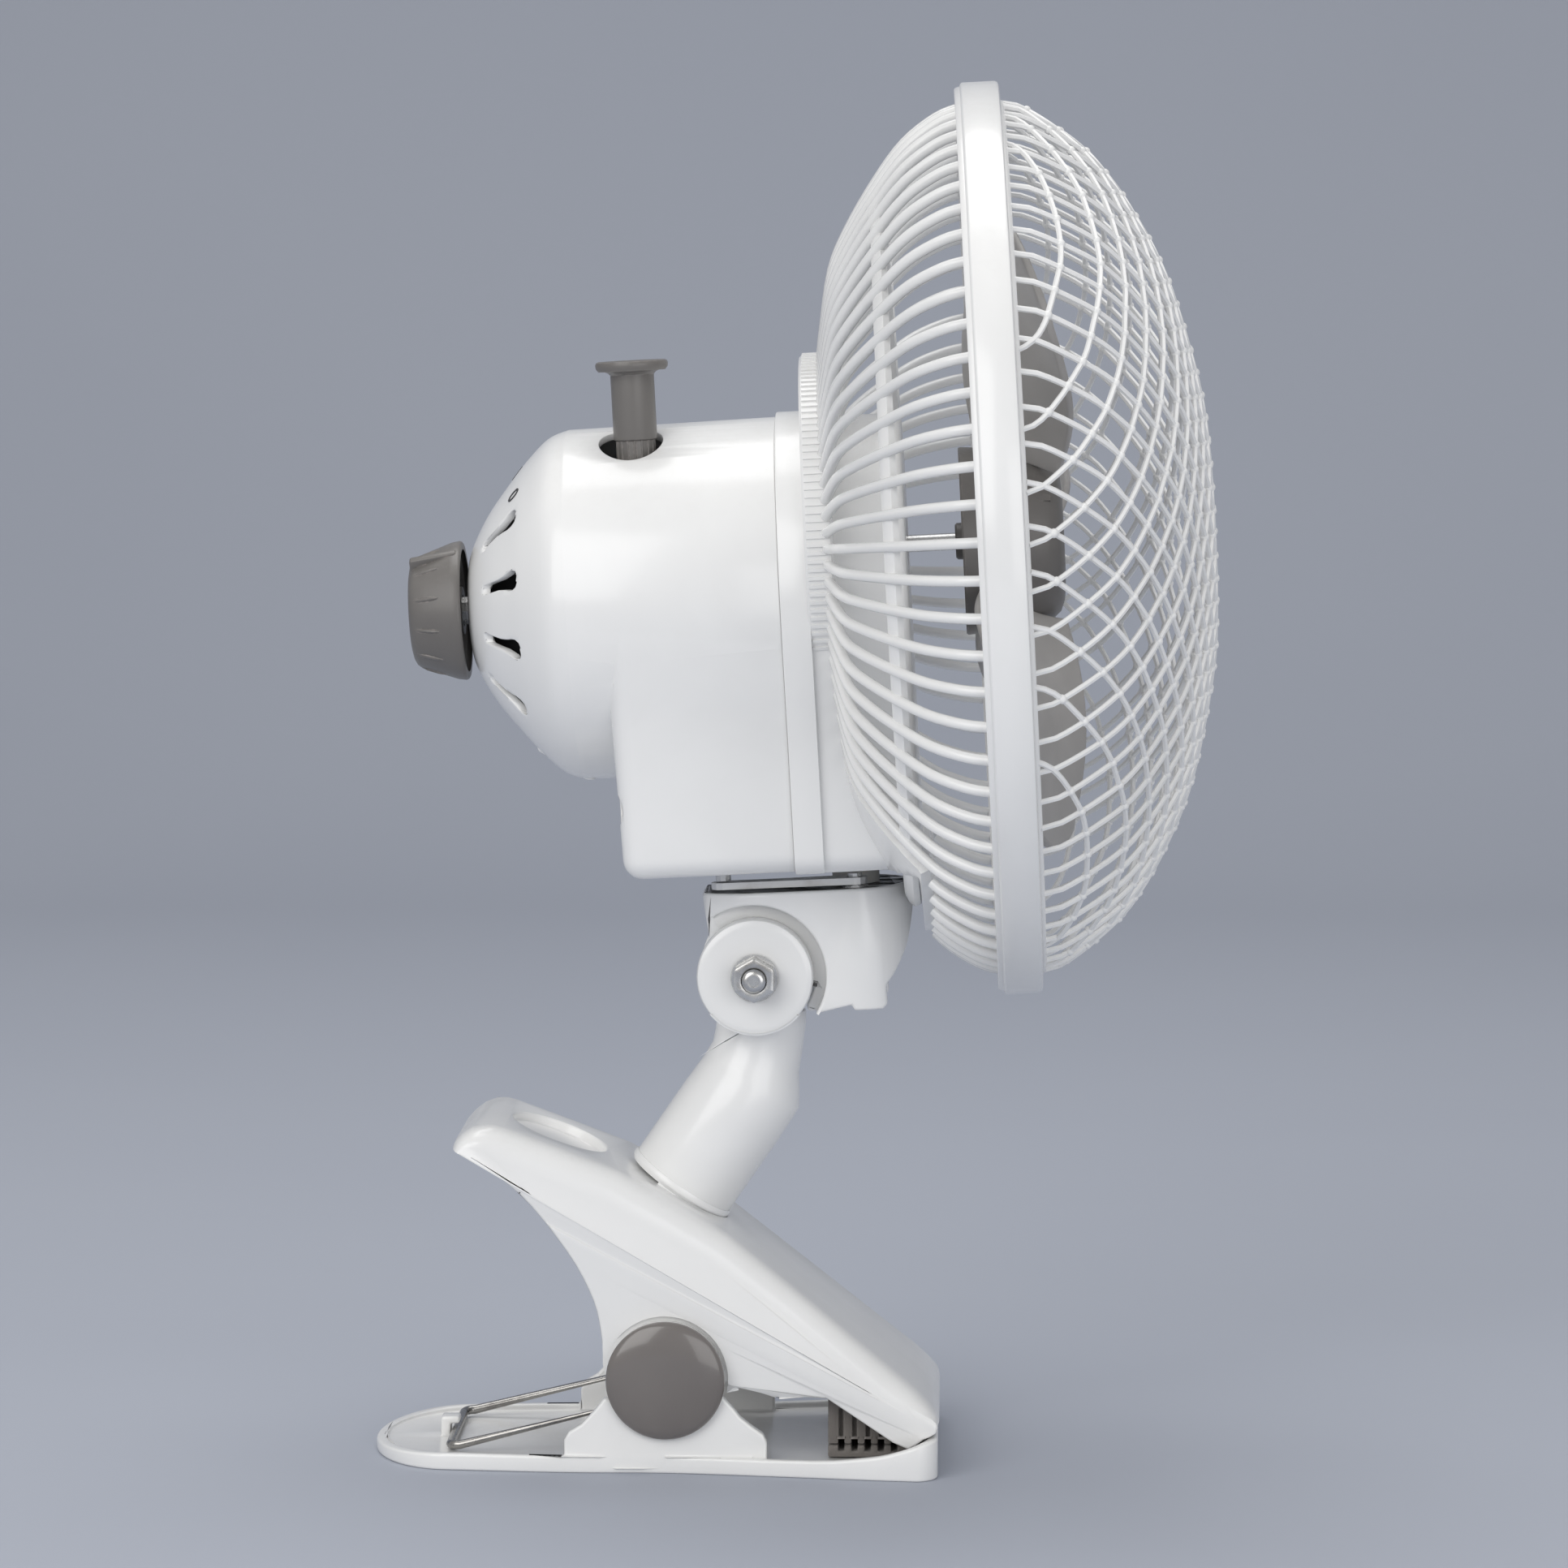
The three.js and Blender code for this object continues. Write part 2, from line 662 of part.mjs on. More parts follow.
// one wire: handle leg, coil, long leg to the tail, cross bar, and back the same way
function springRoute() {
  const points = [];
  const wireZ = trayFloor + gap + springWire / 2;
  const coilSpan = springTurns * springPitch;
  const innerY = springHalfWidth - coilSpan;
  const coil = (side) => {
    const turnPoints = [];
    const steps = springTurns * coilSteps;
    const lead = 0.31; // where the handle leg leaves the coil, as a part of a turn
    const total = steps + Math.round(lead * coilSteps);
    for (let step = 0; step <= total; step++) {
      const turn = step / coilSteps;
      const angle = -Math.PI / 2 - turn * 2 * Math.PI;
      const y = springHalfWidth - (coilSpan * step) / total;
      const x = springCoilRadius * Math.cos(angle);
      const z = hingeHeight + springCoilRadius * Math.sin(angle);
      turnPoints.push(new THREE.Vector3(x, side * y, z));
    }
    return turnPoints;
  };
  const legEnd = (side) => new THREE.Vector3(springTopX, side * innerY, springTopZ);
  points.push(...withHandleLeg(coil(-1), legEnd(-1)).reverse());
  points.push(new THREE.Vector3(springTailX + 1.6, -springHalfWidth, wireZ + 0.3));
  points.push(new THREE.Vector3(springTailX, -springHalfWidth + 1.8, wireZ));
  points.push(new THREE.Vector3(springTailX, springHalfWidth - 1.8, wireZ));
  points.push(new THREE.Vector3(springTailX + 1.6, springHalfWidth, wireZ + 0.3));
  points.push(...withHandleLeg(coil(1), legEnd(1)));
  return points;
}

function withHandleLeg(coilPoints, end) {
  const last = coilPoints[coilPoints.length - 1];
  const middle = last.clone().lerp(end, 0.5);
  return [...coilPoints, middle, end];
}

// The least distance between the wire's centre lines more than a turn's quarter apart, less the wire.
function leastGap(points) {
  let least = Infinity;
  for (let i = 0; i < points.length; i++) {
    for (let j = i + 6; j < points.length; j++) {
      least = Math.min(least, points[i].distanceTo(points[j]));
    }
  }
  return least - springWire;
}

// A tube through the points, its rings carried along without twist, with one radius for each point.
function wireTube(points, radii, sides) {
  const tangents = points.map((_, i) => {
    const before = points[Math.max(i - 1, 0)];
    const after = points[Math.min(i + 1, points.length - 1)];
    return after.clone().sub(before).normalize();
  });
  let normal = new THREE.Vector3(0, 1, 0).cross(tangents[0]).normalize();
  const rings = points.map((point, i) => {
    normal = normal.sub(tangents[i].clone().multiplyScalar(normal.dot(tangents[i]))).normalize();
    const across = tangents[i].clone().cross(normal);
    return Array.from({ length: sides }, (_, side) => {
      const angle = (side / sides) * 2 * Math.PI;
      const offset = normal.clone().multiplyScalar(radii[i] * Math.cos(angle));
      offset.addScaledVector(across, radii[i] * Math.sin(angle));
      return point.clone().add(offset).toArray();
    });
  });
  const positions = [];
  const quad = (a, b, c, d) => positions.push(...a, ...b, ...c, ...a, ...c, ...d);
  for (let i = 1; i < rings.length; i++) {
    for (let side = 0; side < sides; side++) {
      const next = (side + 1) % sides;
      quad(rings[i - 1][side], rings[i][side], rings[i][next], rings[i - 1][next]);
    }
  }
  for (let side = 1; side < sides - 1; side++) {
    const last = rings[rings.length - 1];
    positions.push(...rings[0][0], ...rings[0][side], ...rings[0][side + 1]);
    positions.push(...last[0], ...last[side + 1], ...last[side]);
  }
  const geometry = new THREE.BufferGeometry();
  geometry.setAttribute('position', new THREE.Float32BufferAttribute(positions, 3));
  return solidOf(geometry);
}

function clipSpring() {
  const route = springRoute();
  console.log('clip spring: least gap between turns ' + leastGap(route).toFixed(2) + ' mm');
  return wireTube(route, route.map(() => springWire / 2), 5);
}

// ---------------------------------------------------------------- arm and tilt joint
function arm() {
  const spigot = slantedRod(armBore, armPoint(-armSpigot), armPoint(2));
  const foot = armPoint(-1.2 + gap);
  const neckTop = tiltZ - tiltTongueRadius - gap;
  const stages = [[...foot, armLowerRadius], ...armShape, [tiltX + 0.4, neckTop, armNeckRadius]];
  const centres = stages.map(([x, z]) => new THREE.Vector3(x, 0, z));
  const tubeBody = wireTube(centres, stages.map(([, , radius]) => radius), innerSides);
  const ears = [-1, 1].map((side) => {
    const faces = [side * tiltEarOuter, side * tiltEarInner].sort((a, b) => a - b);
    return rod('y', tiltDiscRadius, faces[0], faces[1], [tiltX, 0, tiltZ], roundSides);
  });
  const yoke = yokeBlock();
  const tilt = [tiltX, 0, tiltZ];
  const tongueRoom = rod('y', tiltTongueRadius + gap, -tiltEarInner, tiltEarInner, tilt, roundSides);
  const bolt = rod('y', tiltBoltRadius + tiltBoltFit, -tiltEarOuter - 1, tiltEarOuter + 1, tilt);
  const cable = slantedRod(armNeckRadius - 3.2, armPoint(-armSpigot - 1), armPoint(14));
  const screwHoles = armScrewPlaces().map(([from, to]) => slantedRod(armScrewRadius + gap, from, to, 8));
  return cutBy(joined(tubeBody, spigot, yoke, ...ears), tongueRoom, bolt, cable, ...screwHoles);
}

// the saddle under the two discs that ties them to the neck
function yokeBlock() {
  const top = tiltZ - tiltTongueRadius - 0.2;
  const saddle = [...arc(tiltX, tiltZ, tiltDiscRadius, -135, -45, 6), [tiltX + 3, top], [tiltX - 3, top]];
  return plate('y', saddle, -tiltEarOuter, tiltEarOuter);
}

function armScrewPlaces() {
  const axis = armAxis();
  return [-1, 1].map((side) => {
    const offset = side * (armBore - 2.4);
    const at = (distance) => {
      const [x, z] = armPoint(distance);
      return [x + axis.z * offset, z - axis.x * offset];
    };
    return [at(-8), at(10)];
  });
}

function armScrew(index) {
  const [from, to] = armScrewPlaces()[index];
  const direction = new THREE.Vector2(to[0] - from[0], to[1] - from[1]).normalize();
  const below = 8 - armSpigot - gap;
  const headTop = [from[0] + direction.x * below, from[1] + direction.y * below];
  const headEnd = [headTop[0] - direction.x * 1.8, headTop[1] - direction.y * 1.8];
  const tip = [to[0] - direction.x * 1.5, to[1] - direction.y * 1.5];
  return joined(slantedRod(armScrewRadius, headEnd, tip, 8), slantedRod(2.3, headEnd, headTop, 8));
}

function tiltBolt() {
  const nearEnd = tiltEarOuter + 2 * gap + tiltWasherThickness + tiltNutHeight + 1;
  const farFace = tiltEarOuter + 2 * gap + tiltWasherThickness;
  const shank = rod('y', tiltBoltRadius, -nearEnd, farFace + 1, [tiltX, 0, tiltZ]);
  const head = plate('y', hexOutline(tiltNutAcross), farFace, farFace + 3.4);
  return joined(shank, head);
}

function hexOutline(across) {
  return arc(tiltX, tiltZ, across / Math.sqrt(3), 30, 330, 5);
}

function tiltNut() {
  const face = tiltEarOuter + 2 * gap + tiltWasherThickness;
  const hex = plate('y', hexOutline(tiltNutAcross), -face - tiltNutHeight, -face);
  return hex.subtract(rod('y', tiltBoltRadius + gap, -face - 9, -face + 1, [tiltX, 0, tiltZ]));
}

function tiltWasher(side) {
  const faces = [side * (tiltEarOuter + gap), side * (tiltEarOuter + gap + tiltWasherThickness)];
  faces.sort((a, b) => a - b);
  return tube('y', tiltWasherRadius, tiltBoltRadius + gap, faces[0], faces[1], [tiltX, 0, tiltZ]);
}

// ---------------------------------------------------------------- neck bracket, about the tilt axis
function cupOutline(inset) {
  const points = [];
  const front = 11.8 - inset;
  const steps = 8;
  for (let step = 0; step <= steps; step++) {
    const angle = -Math.PI / 2 + (step / steps) * Math.PI;
    points.push([postX + front * Math.cos(angle), (cupHalfWidth - inset) * Math.sin(angle)]);
  }
  const rearHalf = cupHalfWidth - 5 - inset;
  const side = cupHalfWidth - inset - 0.8;
  points.push([0, side], [cupRear + 3, rearHalf + 1.5], [cupRear + inset, rearHalf - 2]);
  points.push([cupRear + inset, -rearHalf + 2], [cupRear + 3, -rearHalf - 1.5], [0, -side]);
  return points;
}

function bracket() {
  const side = [
    [cupRear - 1, cupRim], [-10.1, 14.1], [-9.3, 8.8], [-8.2, 2.2],
    ...arc(0, 0, tiltTongueRadius, 165, 320, 8),
    [11.2, -8.5], [18.3, -6.9], [20.3, -8], [26.2, -8.1], [27.2, -7.3], [27.1, -3.2],
    [29.3, -0.4], [31.7, 4.5], [33.1, 10.7], [34.5, cupRim],
  ];
  const plan = plate('z', cupOutline(0), -20, cupRim);
  const tongueFace = tiltEarInner - gap;
  const tongue = rod('y', tiltTongueRadius, -tongueFace, tongueFace, [0, 0, 0], roundSides);
  const solid = joined(plan.intersect(plate('y', side, -20, 20)), tongue);
  const sideRods = (radius, inner) => [-1, 1].map((face) => {
    const span = [face * inner, face * 20].sort((a, b) => a - b);
    return rod('y', radius, span[0], span[1], [0, 0, 0], roundSides);
  });
  const pockets = sideRods(bracketPocket, tongueFace);
  const pocketWalls = sideRods(bracketPocket + cupWall, tongueFace - cupWall);
  const cup = cutBy(plate('z', cupOutline(cupWall), cupFloor, cupRim + 1), ...pocketWalls);
  const roomTop = arc(0, 0, tiltTongueRadius + 2 * gap, -100, -12, 6);
  const armRoom = [...roomTop, [40, -4], [40, -30], [-2, -30]];
  const discRoom = [...roomTop, ...arc(0, 0, tiltDiscRadius + gap, -12, -100, 6)];
  const slot = joined(
    plate('y', armRoom, -tongueFace + bracketCheek, tongueFace - bracketCheek),
    plate('y', discRoom, -tongueFace, tongueFace),
  );
  const bolt = rod('y', tiltBoltRadius + tiltBoltFit, -20, 20);
  const screwHole = rod('z', postScrewRadius + gap, -20, 20, [postX, 0, 0], screwSides);
  const wellTop = cupFloor - postScrewSeat + gap;
  const screwWell = rod('z', postScrewHead + gap, -20, wellTop, [postX, 0, 0], screwSides);
  const open = cutBy(solid, cup, ...pockets, slot);
  return cutBy(open, bolt, screwHole, screwWell);
}

const cupFloorFromFan = cupFloor - fanRise;

function panPost() {
  const foot = cupFloorFromFan + gap;
  const profile = [
    [foot, 0], [foot, postRadius + 1.4], [foot + 2.4, postRadius + 1.4], [foot + 2.4, postRadius],
    [postShoulder, postRadius], [postShoulder, postTopRadius], [postTop, postTopRadius], [postTop, 0],
  ];
  const post = turned('z', profile, 16, [postX, 0, 0]);
  const hole = postScrewRadius + gap;
  const screwHole = rod('z', hole, foot - 1, foot + 12, [postX, 0, 0], screwSides);
  const topHole = rod('z', hole, postTop - 10, postTop + 1, [postX, 0, 0], screwSides);
  return cutBy(post, screwHole, topHole);
}

// a screw along Z, its head above or below
function uprightScrew(x, y, tip, head, radius, headRadius, headHeight) {
  const profile = [[tip, 0], [tip, radius], [head, radius], [head, headRadius]];
  profile.push([head + headHeight, headRadius], [head + headHeight, 0]);
  return turned('z', profile, screwSides, [x, y, 0]);
}

function postScrew() {
  const seat = cupFloorFromFan - postScrewSeat;
  return uprightScrew(postX, 0, cupFloorFromFan + 10, seat, postScrewRadius, postScrewHead, -1.8);
}

function panRetainer() {
  const hole = postScrewRadius + gap;
  const top = postTop + gap + retainerThickness;
  return tube('z', postBossRadius - 1.6, hole, postTop + gap, top, [postX, 0, 0]);
}

function retainerScrew() {
  const head = postTop + 2 * gap + retainerThickness;
  return uprightScrew(postX, 0, postTop - 9, head, postScrewRadius, 2.9, 1.8);
}

// the link's two ends: the fixed pin on the bracket, and the crank pin in the head
const linkAngle = Math.atan2(crankY - linkPinOffset, crankX - postX);
const crankPinX = crankX - crankRadius * Math.sin(linkAngle);
const crankPinY = crankY + crankRadius * Math.cos(linkAngle);
const linkTop = crankDiscTop - 2.6 - 2.3 - gap;

function linkPin() {
  const foot = cupFloorFromFan + gap;
  const profile = [
    [foot, 0], [foot, linkPinRadius + 1.1], [linkTop - linkThickness - gap, linkPinRadius + 1.1],
    [linkTop - linkThickness - gap, linkPinRadius], [linkTop + 0.8, linkPinRadius], [linkTop + 0.8, 0],
  ];
  return turned('z', profile, smallSides, [postX, linkPinOffset, 0]);
}

function oscillationLink() {
  const along = Math.atan2(crankPinY - linkPinOffset, crankPinX - postX);
  const degrees = THREE.MathUtils.radToDeg(along);
  const pinEnd = arc(postX, linkPinOffset, linkHalfWidth, degrees + 90, degrees + 270, 6);
  const crankEnd = arc(crankPinX, crankPinY, linkHalfWidth, degrees - 90, degrees + 90, 6);
  const bar = plate('z', [...pinEnd, ...crankEnd], linkTop - linkThickness, linkTop);
  return bar.subtract(rod('z', linkPinRadius + gap, linkTop - 5, linkTop + 5, [postX, linkPinOffset, 0]));
}

// ---------------------------------------------------------------- motor housing, about the fan axis
// section across the fan axis: a round top and a box below, [y, z]
function shellSection(inset, bottom) {
  const radius = shellRadius - inset;
  const half = [
    ...arc(0, shellDrop, radius, 90, 0, 7),
    [shellFoot + 1.4 - inset, bottom + 7 + inset * 0.3], [shellFoot - 1.2 - inset, bottom + 2 + inset],
    [shellFoot - 6 - inset, bottom + inset],
  ];
  return mirrored(half.map(([y, z]) => [Math.max(y, 0), z]));
}

function plungerHole() {
  return rod('z', plungerHoleRadius, 8, 45, [plungerX - 1, wheelOffset, 0], 24);
}

// radial slots round the dome, wider at their outer ends
function ventCuts() {
  const cuts = [];
  for (const degrees of ventAngles) {
    const angle = THREE.MathUtils.degToRad(degrees);
    const across = [Math.cos(angle), Math.sin(angle)];
    const corner = (reach, side) => {
      const half = side * (reach === ventInner ? ventWidth / 2 : ventWidth);
      return [reach * across[0] - half * across[1], shellDrop + reach * across[1] + half * across[0]];
    };
    const outline = [
      corner(ventInner, -1), corner(ventOuter, -1), corner(ventOuter, 1), corner(ventInner, 1),
    ];
    cuts.push(plate('x', outline, -56, -38));
  }
  return cuts;
}

function domeProfile(inset) {
  const depth = domeStartX - domeEndX;
  const radius = shellRadius - inset;
  const profile = [[seamX + 1, 0], [seamX + 1, radius], [domeStartX, radius]];
  const steps = 4;
  for (let step = 1; step <= steps; step++) {
    const angle = (step / steps) * THREE.MathUtils.degToRad(77);
    const x = domeStartX - (depth - inset) * Math.sin(angle) / Math.sin(THREE.MathUtils.degToRad(77));
    profile.push([x, radius * Math.cos(angle)]);
  }
  profile.push([profile[profile.length - 1][0], 0]);
  return profile;
}

function rearCover() {
  const dome = turned('x', domeProfile(0), domeSides, [0, 0, shellDrop]);
  const box = plate('x', shellSection(0, coverBottom), coverBoxRearX, seamX + 1);
  const domeInside = turned('x', domeProfile(wall), domeSides, [0, 0, shellDrop]);
  const boxInside = plate('x', shellSection(wall, coverBottom), coverBoxRearX + wall, seamX + 2);
  const beyondSeam = block(seamX - gap, seamX + 20, -60, 60, -90, 60);
  const spindle = rod('x', spindleRadius + 0.5, -70, -40, [0, 0, shellDrop]);
  const crank = rod('z', crankDiscRadius + 1, -80, -56, [crankX, crankY, 0], 24);
  const inlet = rod('z', cordHoleRadius, -60, -30, [cordX, 0, 0]);
  const bosses = coverScrewPlaces.map(([y, z]) => coverBoss(y, z));
  const wells = coverScrewPlaces.map(([y, z]) => {
    return rod('x', coverScrewHead + gap, -60, coverScrewSeat, [0, y, z], screwSides);
  });
  const holes = coverScrewPlaces.map(([y, z]) => {
    return rod('x', coverScrewRadius + gap, -60, seamX + 1, [0, y, z], screwSides);
  });
  const shell = joined(dome, box);
  const inside = joined(domeInside, boxInside);
  const pad = plate('y', glandPadOutline(), -glandPadHalf, glandPadHalf);
  const walls = joined(cutBy(joined(shell, pad), inside), ...bosses.map((boss) => boss.intersect(shell)));
  return cutBy(walls, beyondSeam, spindle, crank, inlet, plungerHole(), ...ventCuts(), ...wells, ...holes);
}

// the cord inlet's flat, which stands out of the dome's underside
function glandPadOutline() {
  const rear = glandPadRearX;
  const front = rear + glandPadLength;
  return [
    [rear, glandPadTop], [rear, glandPadCorner], [front - 2, glandPadLow], [front, glandPadLow],
    [front, glandPadTop],
  ];
}

function coverBoss(y, z) {
  const well = coverScrewHead + gap + 1.4;
  const rear = coverBoxRearX - 1.8;
  const profile = [
    [rear, 0], [rear, well], [coverScrewSeat + 2, well], [coverScrewSeat + 2, coverScrewBoss],
    [seamX - gap, coverScrewBoss], [seamX - gap, 0],
  ];
  return turned('x', profile, 8, [0, y, z]);
}

function coverScrew(index) {
  const [y, z] = coverScrewPlaces[index];
  const seat = coverScrewSeat - gap;
  const profile = [
    [seat - 2, 0], [seat - 2, coverScrewHead - 0.3], [seat, coverScrewHead - 0.3], [seat, coverScrewRadius],
    [seamX + 9, coverScrewRadius], [seamX + 9, 0],
  ];
  return turned('x', profile, screwSides, [0, y, z]);
}

// a rubber grommet closed by a thin web, where a cord would enter
function cordGland() {
  const lip = glandTop - 1.4;
  const end = glandTop - glandLength;
  const profile = [
    [glandTop, 0], [glandTop, cordHoleRadius + glandLip], [lip, cordHoleRadius + glandLip],
    [lip, cordHoleRadius - gap], [end, cordHoleRadius - 0.8], [end, glandBore], [glandTop - 2, glandBore],
    [glandTop - 2, 0],
  ];
  return turned('z', profile, smallSides, [cordX, 0, 0]);
}

// ---------------------------------------------------------------- rear grille and front housing
// outer profile of the rear grille, [x, radius]
const rearProfile = [
  [18.6, flangeRadius - 1.9], [22.6, guardRimRadius - 32.2], [webWallX - 1, guardRimRadius - 12.7],
  [webWallX + 0.2, guardRimRadius - 10.6],
  [ringRearX + 1.1, guardRimRadius - 0.4],
];
const hoopBand = 2;

function rearCage() {
  const normals = normalsOf(rearProfile);
  const columns = 2 * ribCount;
  const columnAngle = (j) => {
    const rib = Math.floor(j / 2);
    const side = j % 2 === 0 ? -1 : 1;
    return { middle: (rib / ribCount) * 2 * Math.PI, side };
  };
  const place = (k, j, depth) => {
    const [x, radius] = rearProfile[k];
    const [normalX, normalR] = normals[k];
    const reach = radius - depth * normalR;
    const { middle, side } = columnAngle(j);
    const angle = middle + side * Math.asin(ribWidth / 2 / radius);
    const y = reach * Math.cos(angle);
    let z = reach * Math.sin(angle);
    const floor = shellBottom + (depth > 0 ? wall : 0);
    if (k <= hoopBand && z < floor) z = floor;
    return [x + depth * Math.abs(normalX), y, z];
  };
  const isFilled = (k, j) => {
    if (k === hoopBand || j % 2 === 0) return true;
    const angle = THREE.MathUtils.radToDeg(((Math.floor(j / 2) + 0.5) / ribCount) * 2 * Math.PI);
    return k < hoopBand && Math.abs(angle - 270) < webHalfAngle;
  };
  const outer = (k, j) => place(k, j, 0);
  const inner = (k, j) => place(k, j, ribDepth);
  return cellShell(rearProfile.length - 1, columns, true, isFilled, outer, inner);
}

function rearGrille() {
  const drum = plate('x', shellSection(0, shellBottom), seamX, shellFrontX);
  const hollow = plate('x', shellSection(wall, shellBottom), seamX - 1, shellFrontX - wall);
  const flange = rod('x', flangeRadius, flangeRearX, flangeFrontX, [0, 0, 0], ringSides);
  const rim = turned('x', rearRimProfile(), ringSides);
  const boss = rod('z', postBossRadius, shellBottom, postTop - gap, [postX, 0, 0], 16);
  const postHoleTop = postShoulder + gap;
  const postHole = rod('z', postRadius + postFit, shellBottom - 1, postHoleTop, [postX, 0, 0], 16);
  const postTopHole = rod('z', postTopRadius + postFit, postShoulder - 1, postTop + 1, [postX, 0, 0], 16);
  const shaftHole = rod('x', bearingSeatRadius, 0, 60);
  const screwBosses = coverScrewPlaces.map(([y, z]) => {
    return rod('x', coverScrewBoss, seamX, seamX + 12, [0, y, z], screwSides);
  });
  const screwHoles = coverScrewPlaces.map(([y, z]) => {
    return rod('x', coverScrewRadius + gap, 0, seamX + 10, [0, y, z], screwSides);
  });
  const motorBosses = motorScrewSpots().map(([y, z]) => {
    return rod('x', 3.4, frontPlateX + platingThickness + gap, shellFrontX, [0, y, z], screwSides);
  });
  const motorHoles = motorScrewSpots().map(([y, z]) => {
    return rod('x', motorScrewRadius + gap, 0, 35, [0, y, z], screwSides);
  });
  const outside = joined(drum, flange, rearCage(), rim);
  const fittings = joined(boss, ...screwBosses, ...motorBosses).intersect(drum);
  const holes = [postHole, postTopHole, shaftHole, ...screwHoles, ...motorHoles];
  return cutBy(joined(cutBy(outside, hollow), fittings), ...holes);
}

function rearRimProfile() {
  const inner = guardRimRadius - guardRimDepth;
  const flangeX = guardJointX - flangeThickness;
  return [
    [ringRearX, inner], [ringRearX, guardRimRadius], [flangeX, guardRimRadius],
    [flangeX, guardRimRadius + guardFlange], [guardJointX, guardRimRadius + guardFlange],
    [guardJointX, inner], [ringRearX, inner],
  ];
}

// ---------------------------------------------------------------- guard ring and front guard
function guardRing() {
  const lipRadius = guardRimRadius + gap;
  const inner = ringRadius - ringWall;
  const profile = [
    [ringRearX, lipRadius], [ringRearX, ringRadius], [ringFrontX, ringRadius], [ringFrontX, lipRadius],
    [ringFrontX - ringLip, lipRadius], [ringFrontX - ringLip, inner], [ringRearX + ringLip, inner],
    [ringRearX + ringLip, lipRadius], [ringRearX, lipRadius],
  ];
  return turned('x', profile, ringSides);
}

const frontRimX = guardJointX + gap;
// outer profile of the front guard, [radius, x]: its apex, then how far inside the rim and behind the
// apex each point lies
const frontProfile = [
  [0, guardApexX],
  ...[[75.5, 0.1], [63.6, 0.8], [50, 3.6], [37.3, 7.2], [27, 11.8], [16.6, 18], [9.2, 24.4], [1.5, 34.9]]
    .map(([inside, behind]) => [guardRimRadius - inside, guardApexX - behind]),
  [guardRimRadius, ringFrontX],
];

function frontX(radius) {
  for (let k = 1; k < frontProfile.length; k++) {
    const [r0, x0] = frontProfile[k - 1];
    const [r1, x1] = frontProfile[k];
    if (radius <= r1) return x0 + ((x1 - x0) * (radius - r0)) / (r1 - r0);
  }
  return ringFrontX;
}

// a net of two sets of straight strands at right angles, seen from the front, laid over the dome
function frontGuard() {
  const reach = guardRimRadius - 0.9;
  const strands = 2 * Math.ceil(reach / netPitch) + 1;
  const line = (index) => {
    const strand = Math.floor(index / 2) - (strands - 1) / 2;
    return strand * netPitch + (index % 2 === 0 ? -1 : 1) * (netStrand / 2);
  };
  const flat = (a, b) => {
    const y = (line(a) - line(b)) * Math.SQRT1_2;
    const z = (line(a) + line(b)) * Math.SQRT1_2;
    return [y, z, Math.hypot(y, z)];
  };
  const place = (a, b, depth) => {
    const [y, z, radius] = flat(a, b);
    const held = radius > reach - netSnap ? reach / radius : 1;
    const atRadius = radius * held;
    const slope = frontX(atRadius + 0.5) - frontX(Math.max(atRadius - 0.5, 0));
    const length = Math.hypot(1, slope);
    const inward = 1 + (depth * slope) / length / Math.max(atRadius, 1);
    return [frontX(atRadius) - depth / length, y * held * inward, z * held * inward];
  };
  const inside = (a, b) => flat(a, b)[2] < reach - netSnap;
  const isFilled = (a, b) => {
    const onStrand = a % 2 === 0 || b % 2 === 0;
    return onStrand && (inside(a, b) || inside(a + 1, b) || inside(a, b + 1) || inside(a + 1, b + 1));
  };
  const cells = 2 * strands - 1;
  const outside = (a, b) => place(a, b, 0);
  const inner = (a, b) => place(a, b, netDepth);
  const net = cellShell(cells, cells, false, isFilled, outside, inner);
  const band = turned('x', [
    [frontRimX, guardRimRadius - guardRimDepth], [frontRimX, guardRimRadius + guardFlange],
    [frontRimX + flangeThickness, guardRimRadius + guardFlange], [frontRimX + flangeThickness, guardRimRadius],
    [ringFrontX + 1.6, guardRimRadius], [ringFrontX + 4, guardRimRadius - 0.6],
    [ringFrontX + 3.4, guardRimRadius - guardRimDepth], [frontRimX, guardRimRadius - guardRimDepth],
  ], ringSides);
  return joined(net, band);
}

// ---------------------------------------------------------------- impeller and motor
function blade(index) {
  const middle = THREE.MathUtils.degToRad(bladeFirstAngle + (360 / bladeCount) * index);
  const rows = 4;
  const columns = 6;
  const root = hubRadius - 3;
  const place = (k, j, side) => {
    const out = k / rows;
    const across = (2 * j) / columns - 1;
    const tip = bladeTipRadius - 9 * Math.abs(across) ** 3;
    const radius = root + (tip - root) * out;
    const spread = THREE.MathUtils.degToRad(bladeHalfAngle) * (0.92 + 0.16 * Math.sin(Math.PI * out));
    const angle = middle - across * spread;
    const depth = bladeHalfDepth * (0.62 + 0.38 * Math.sin(Math.PI * Math.min(out * 0.9 + 0.12, 1)));
    const camber = 2.2 * (1 - across * across);
    const x = bladeMiddleX + across * depth - camber + side * (bladeThickness / 2);
    return [x, -radius * Math.cos(angle), radius * Math.sin(angle)];
  };
  return cellShell(rows, columns, false, () => true, (k, j) => place(k, j, 1), (k, j) => place(k, j, -1));
}

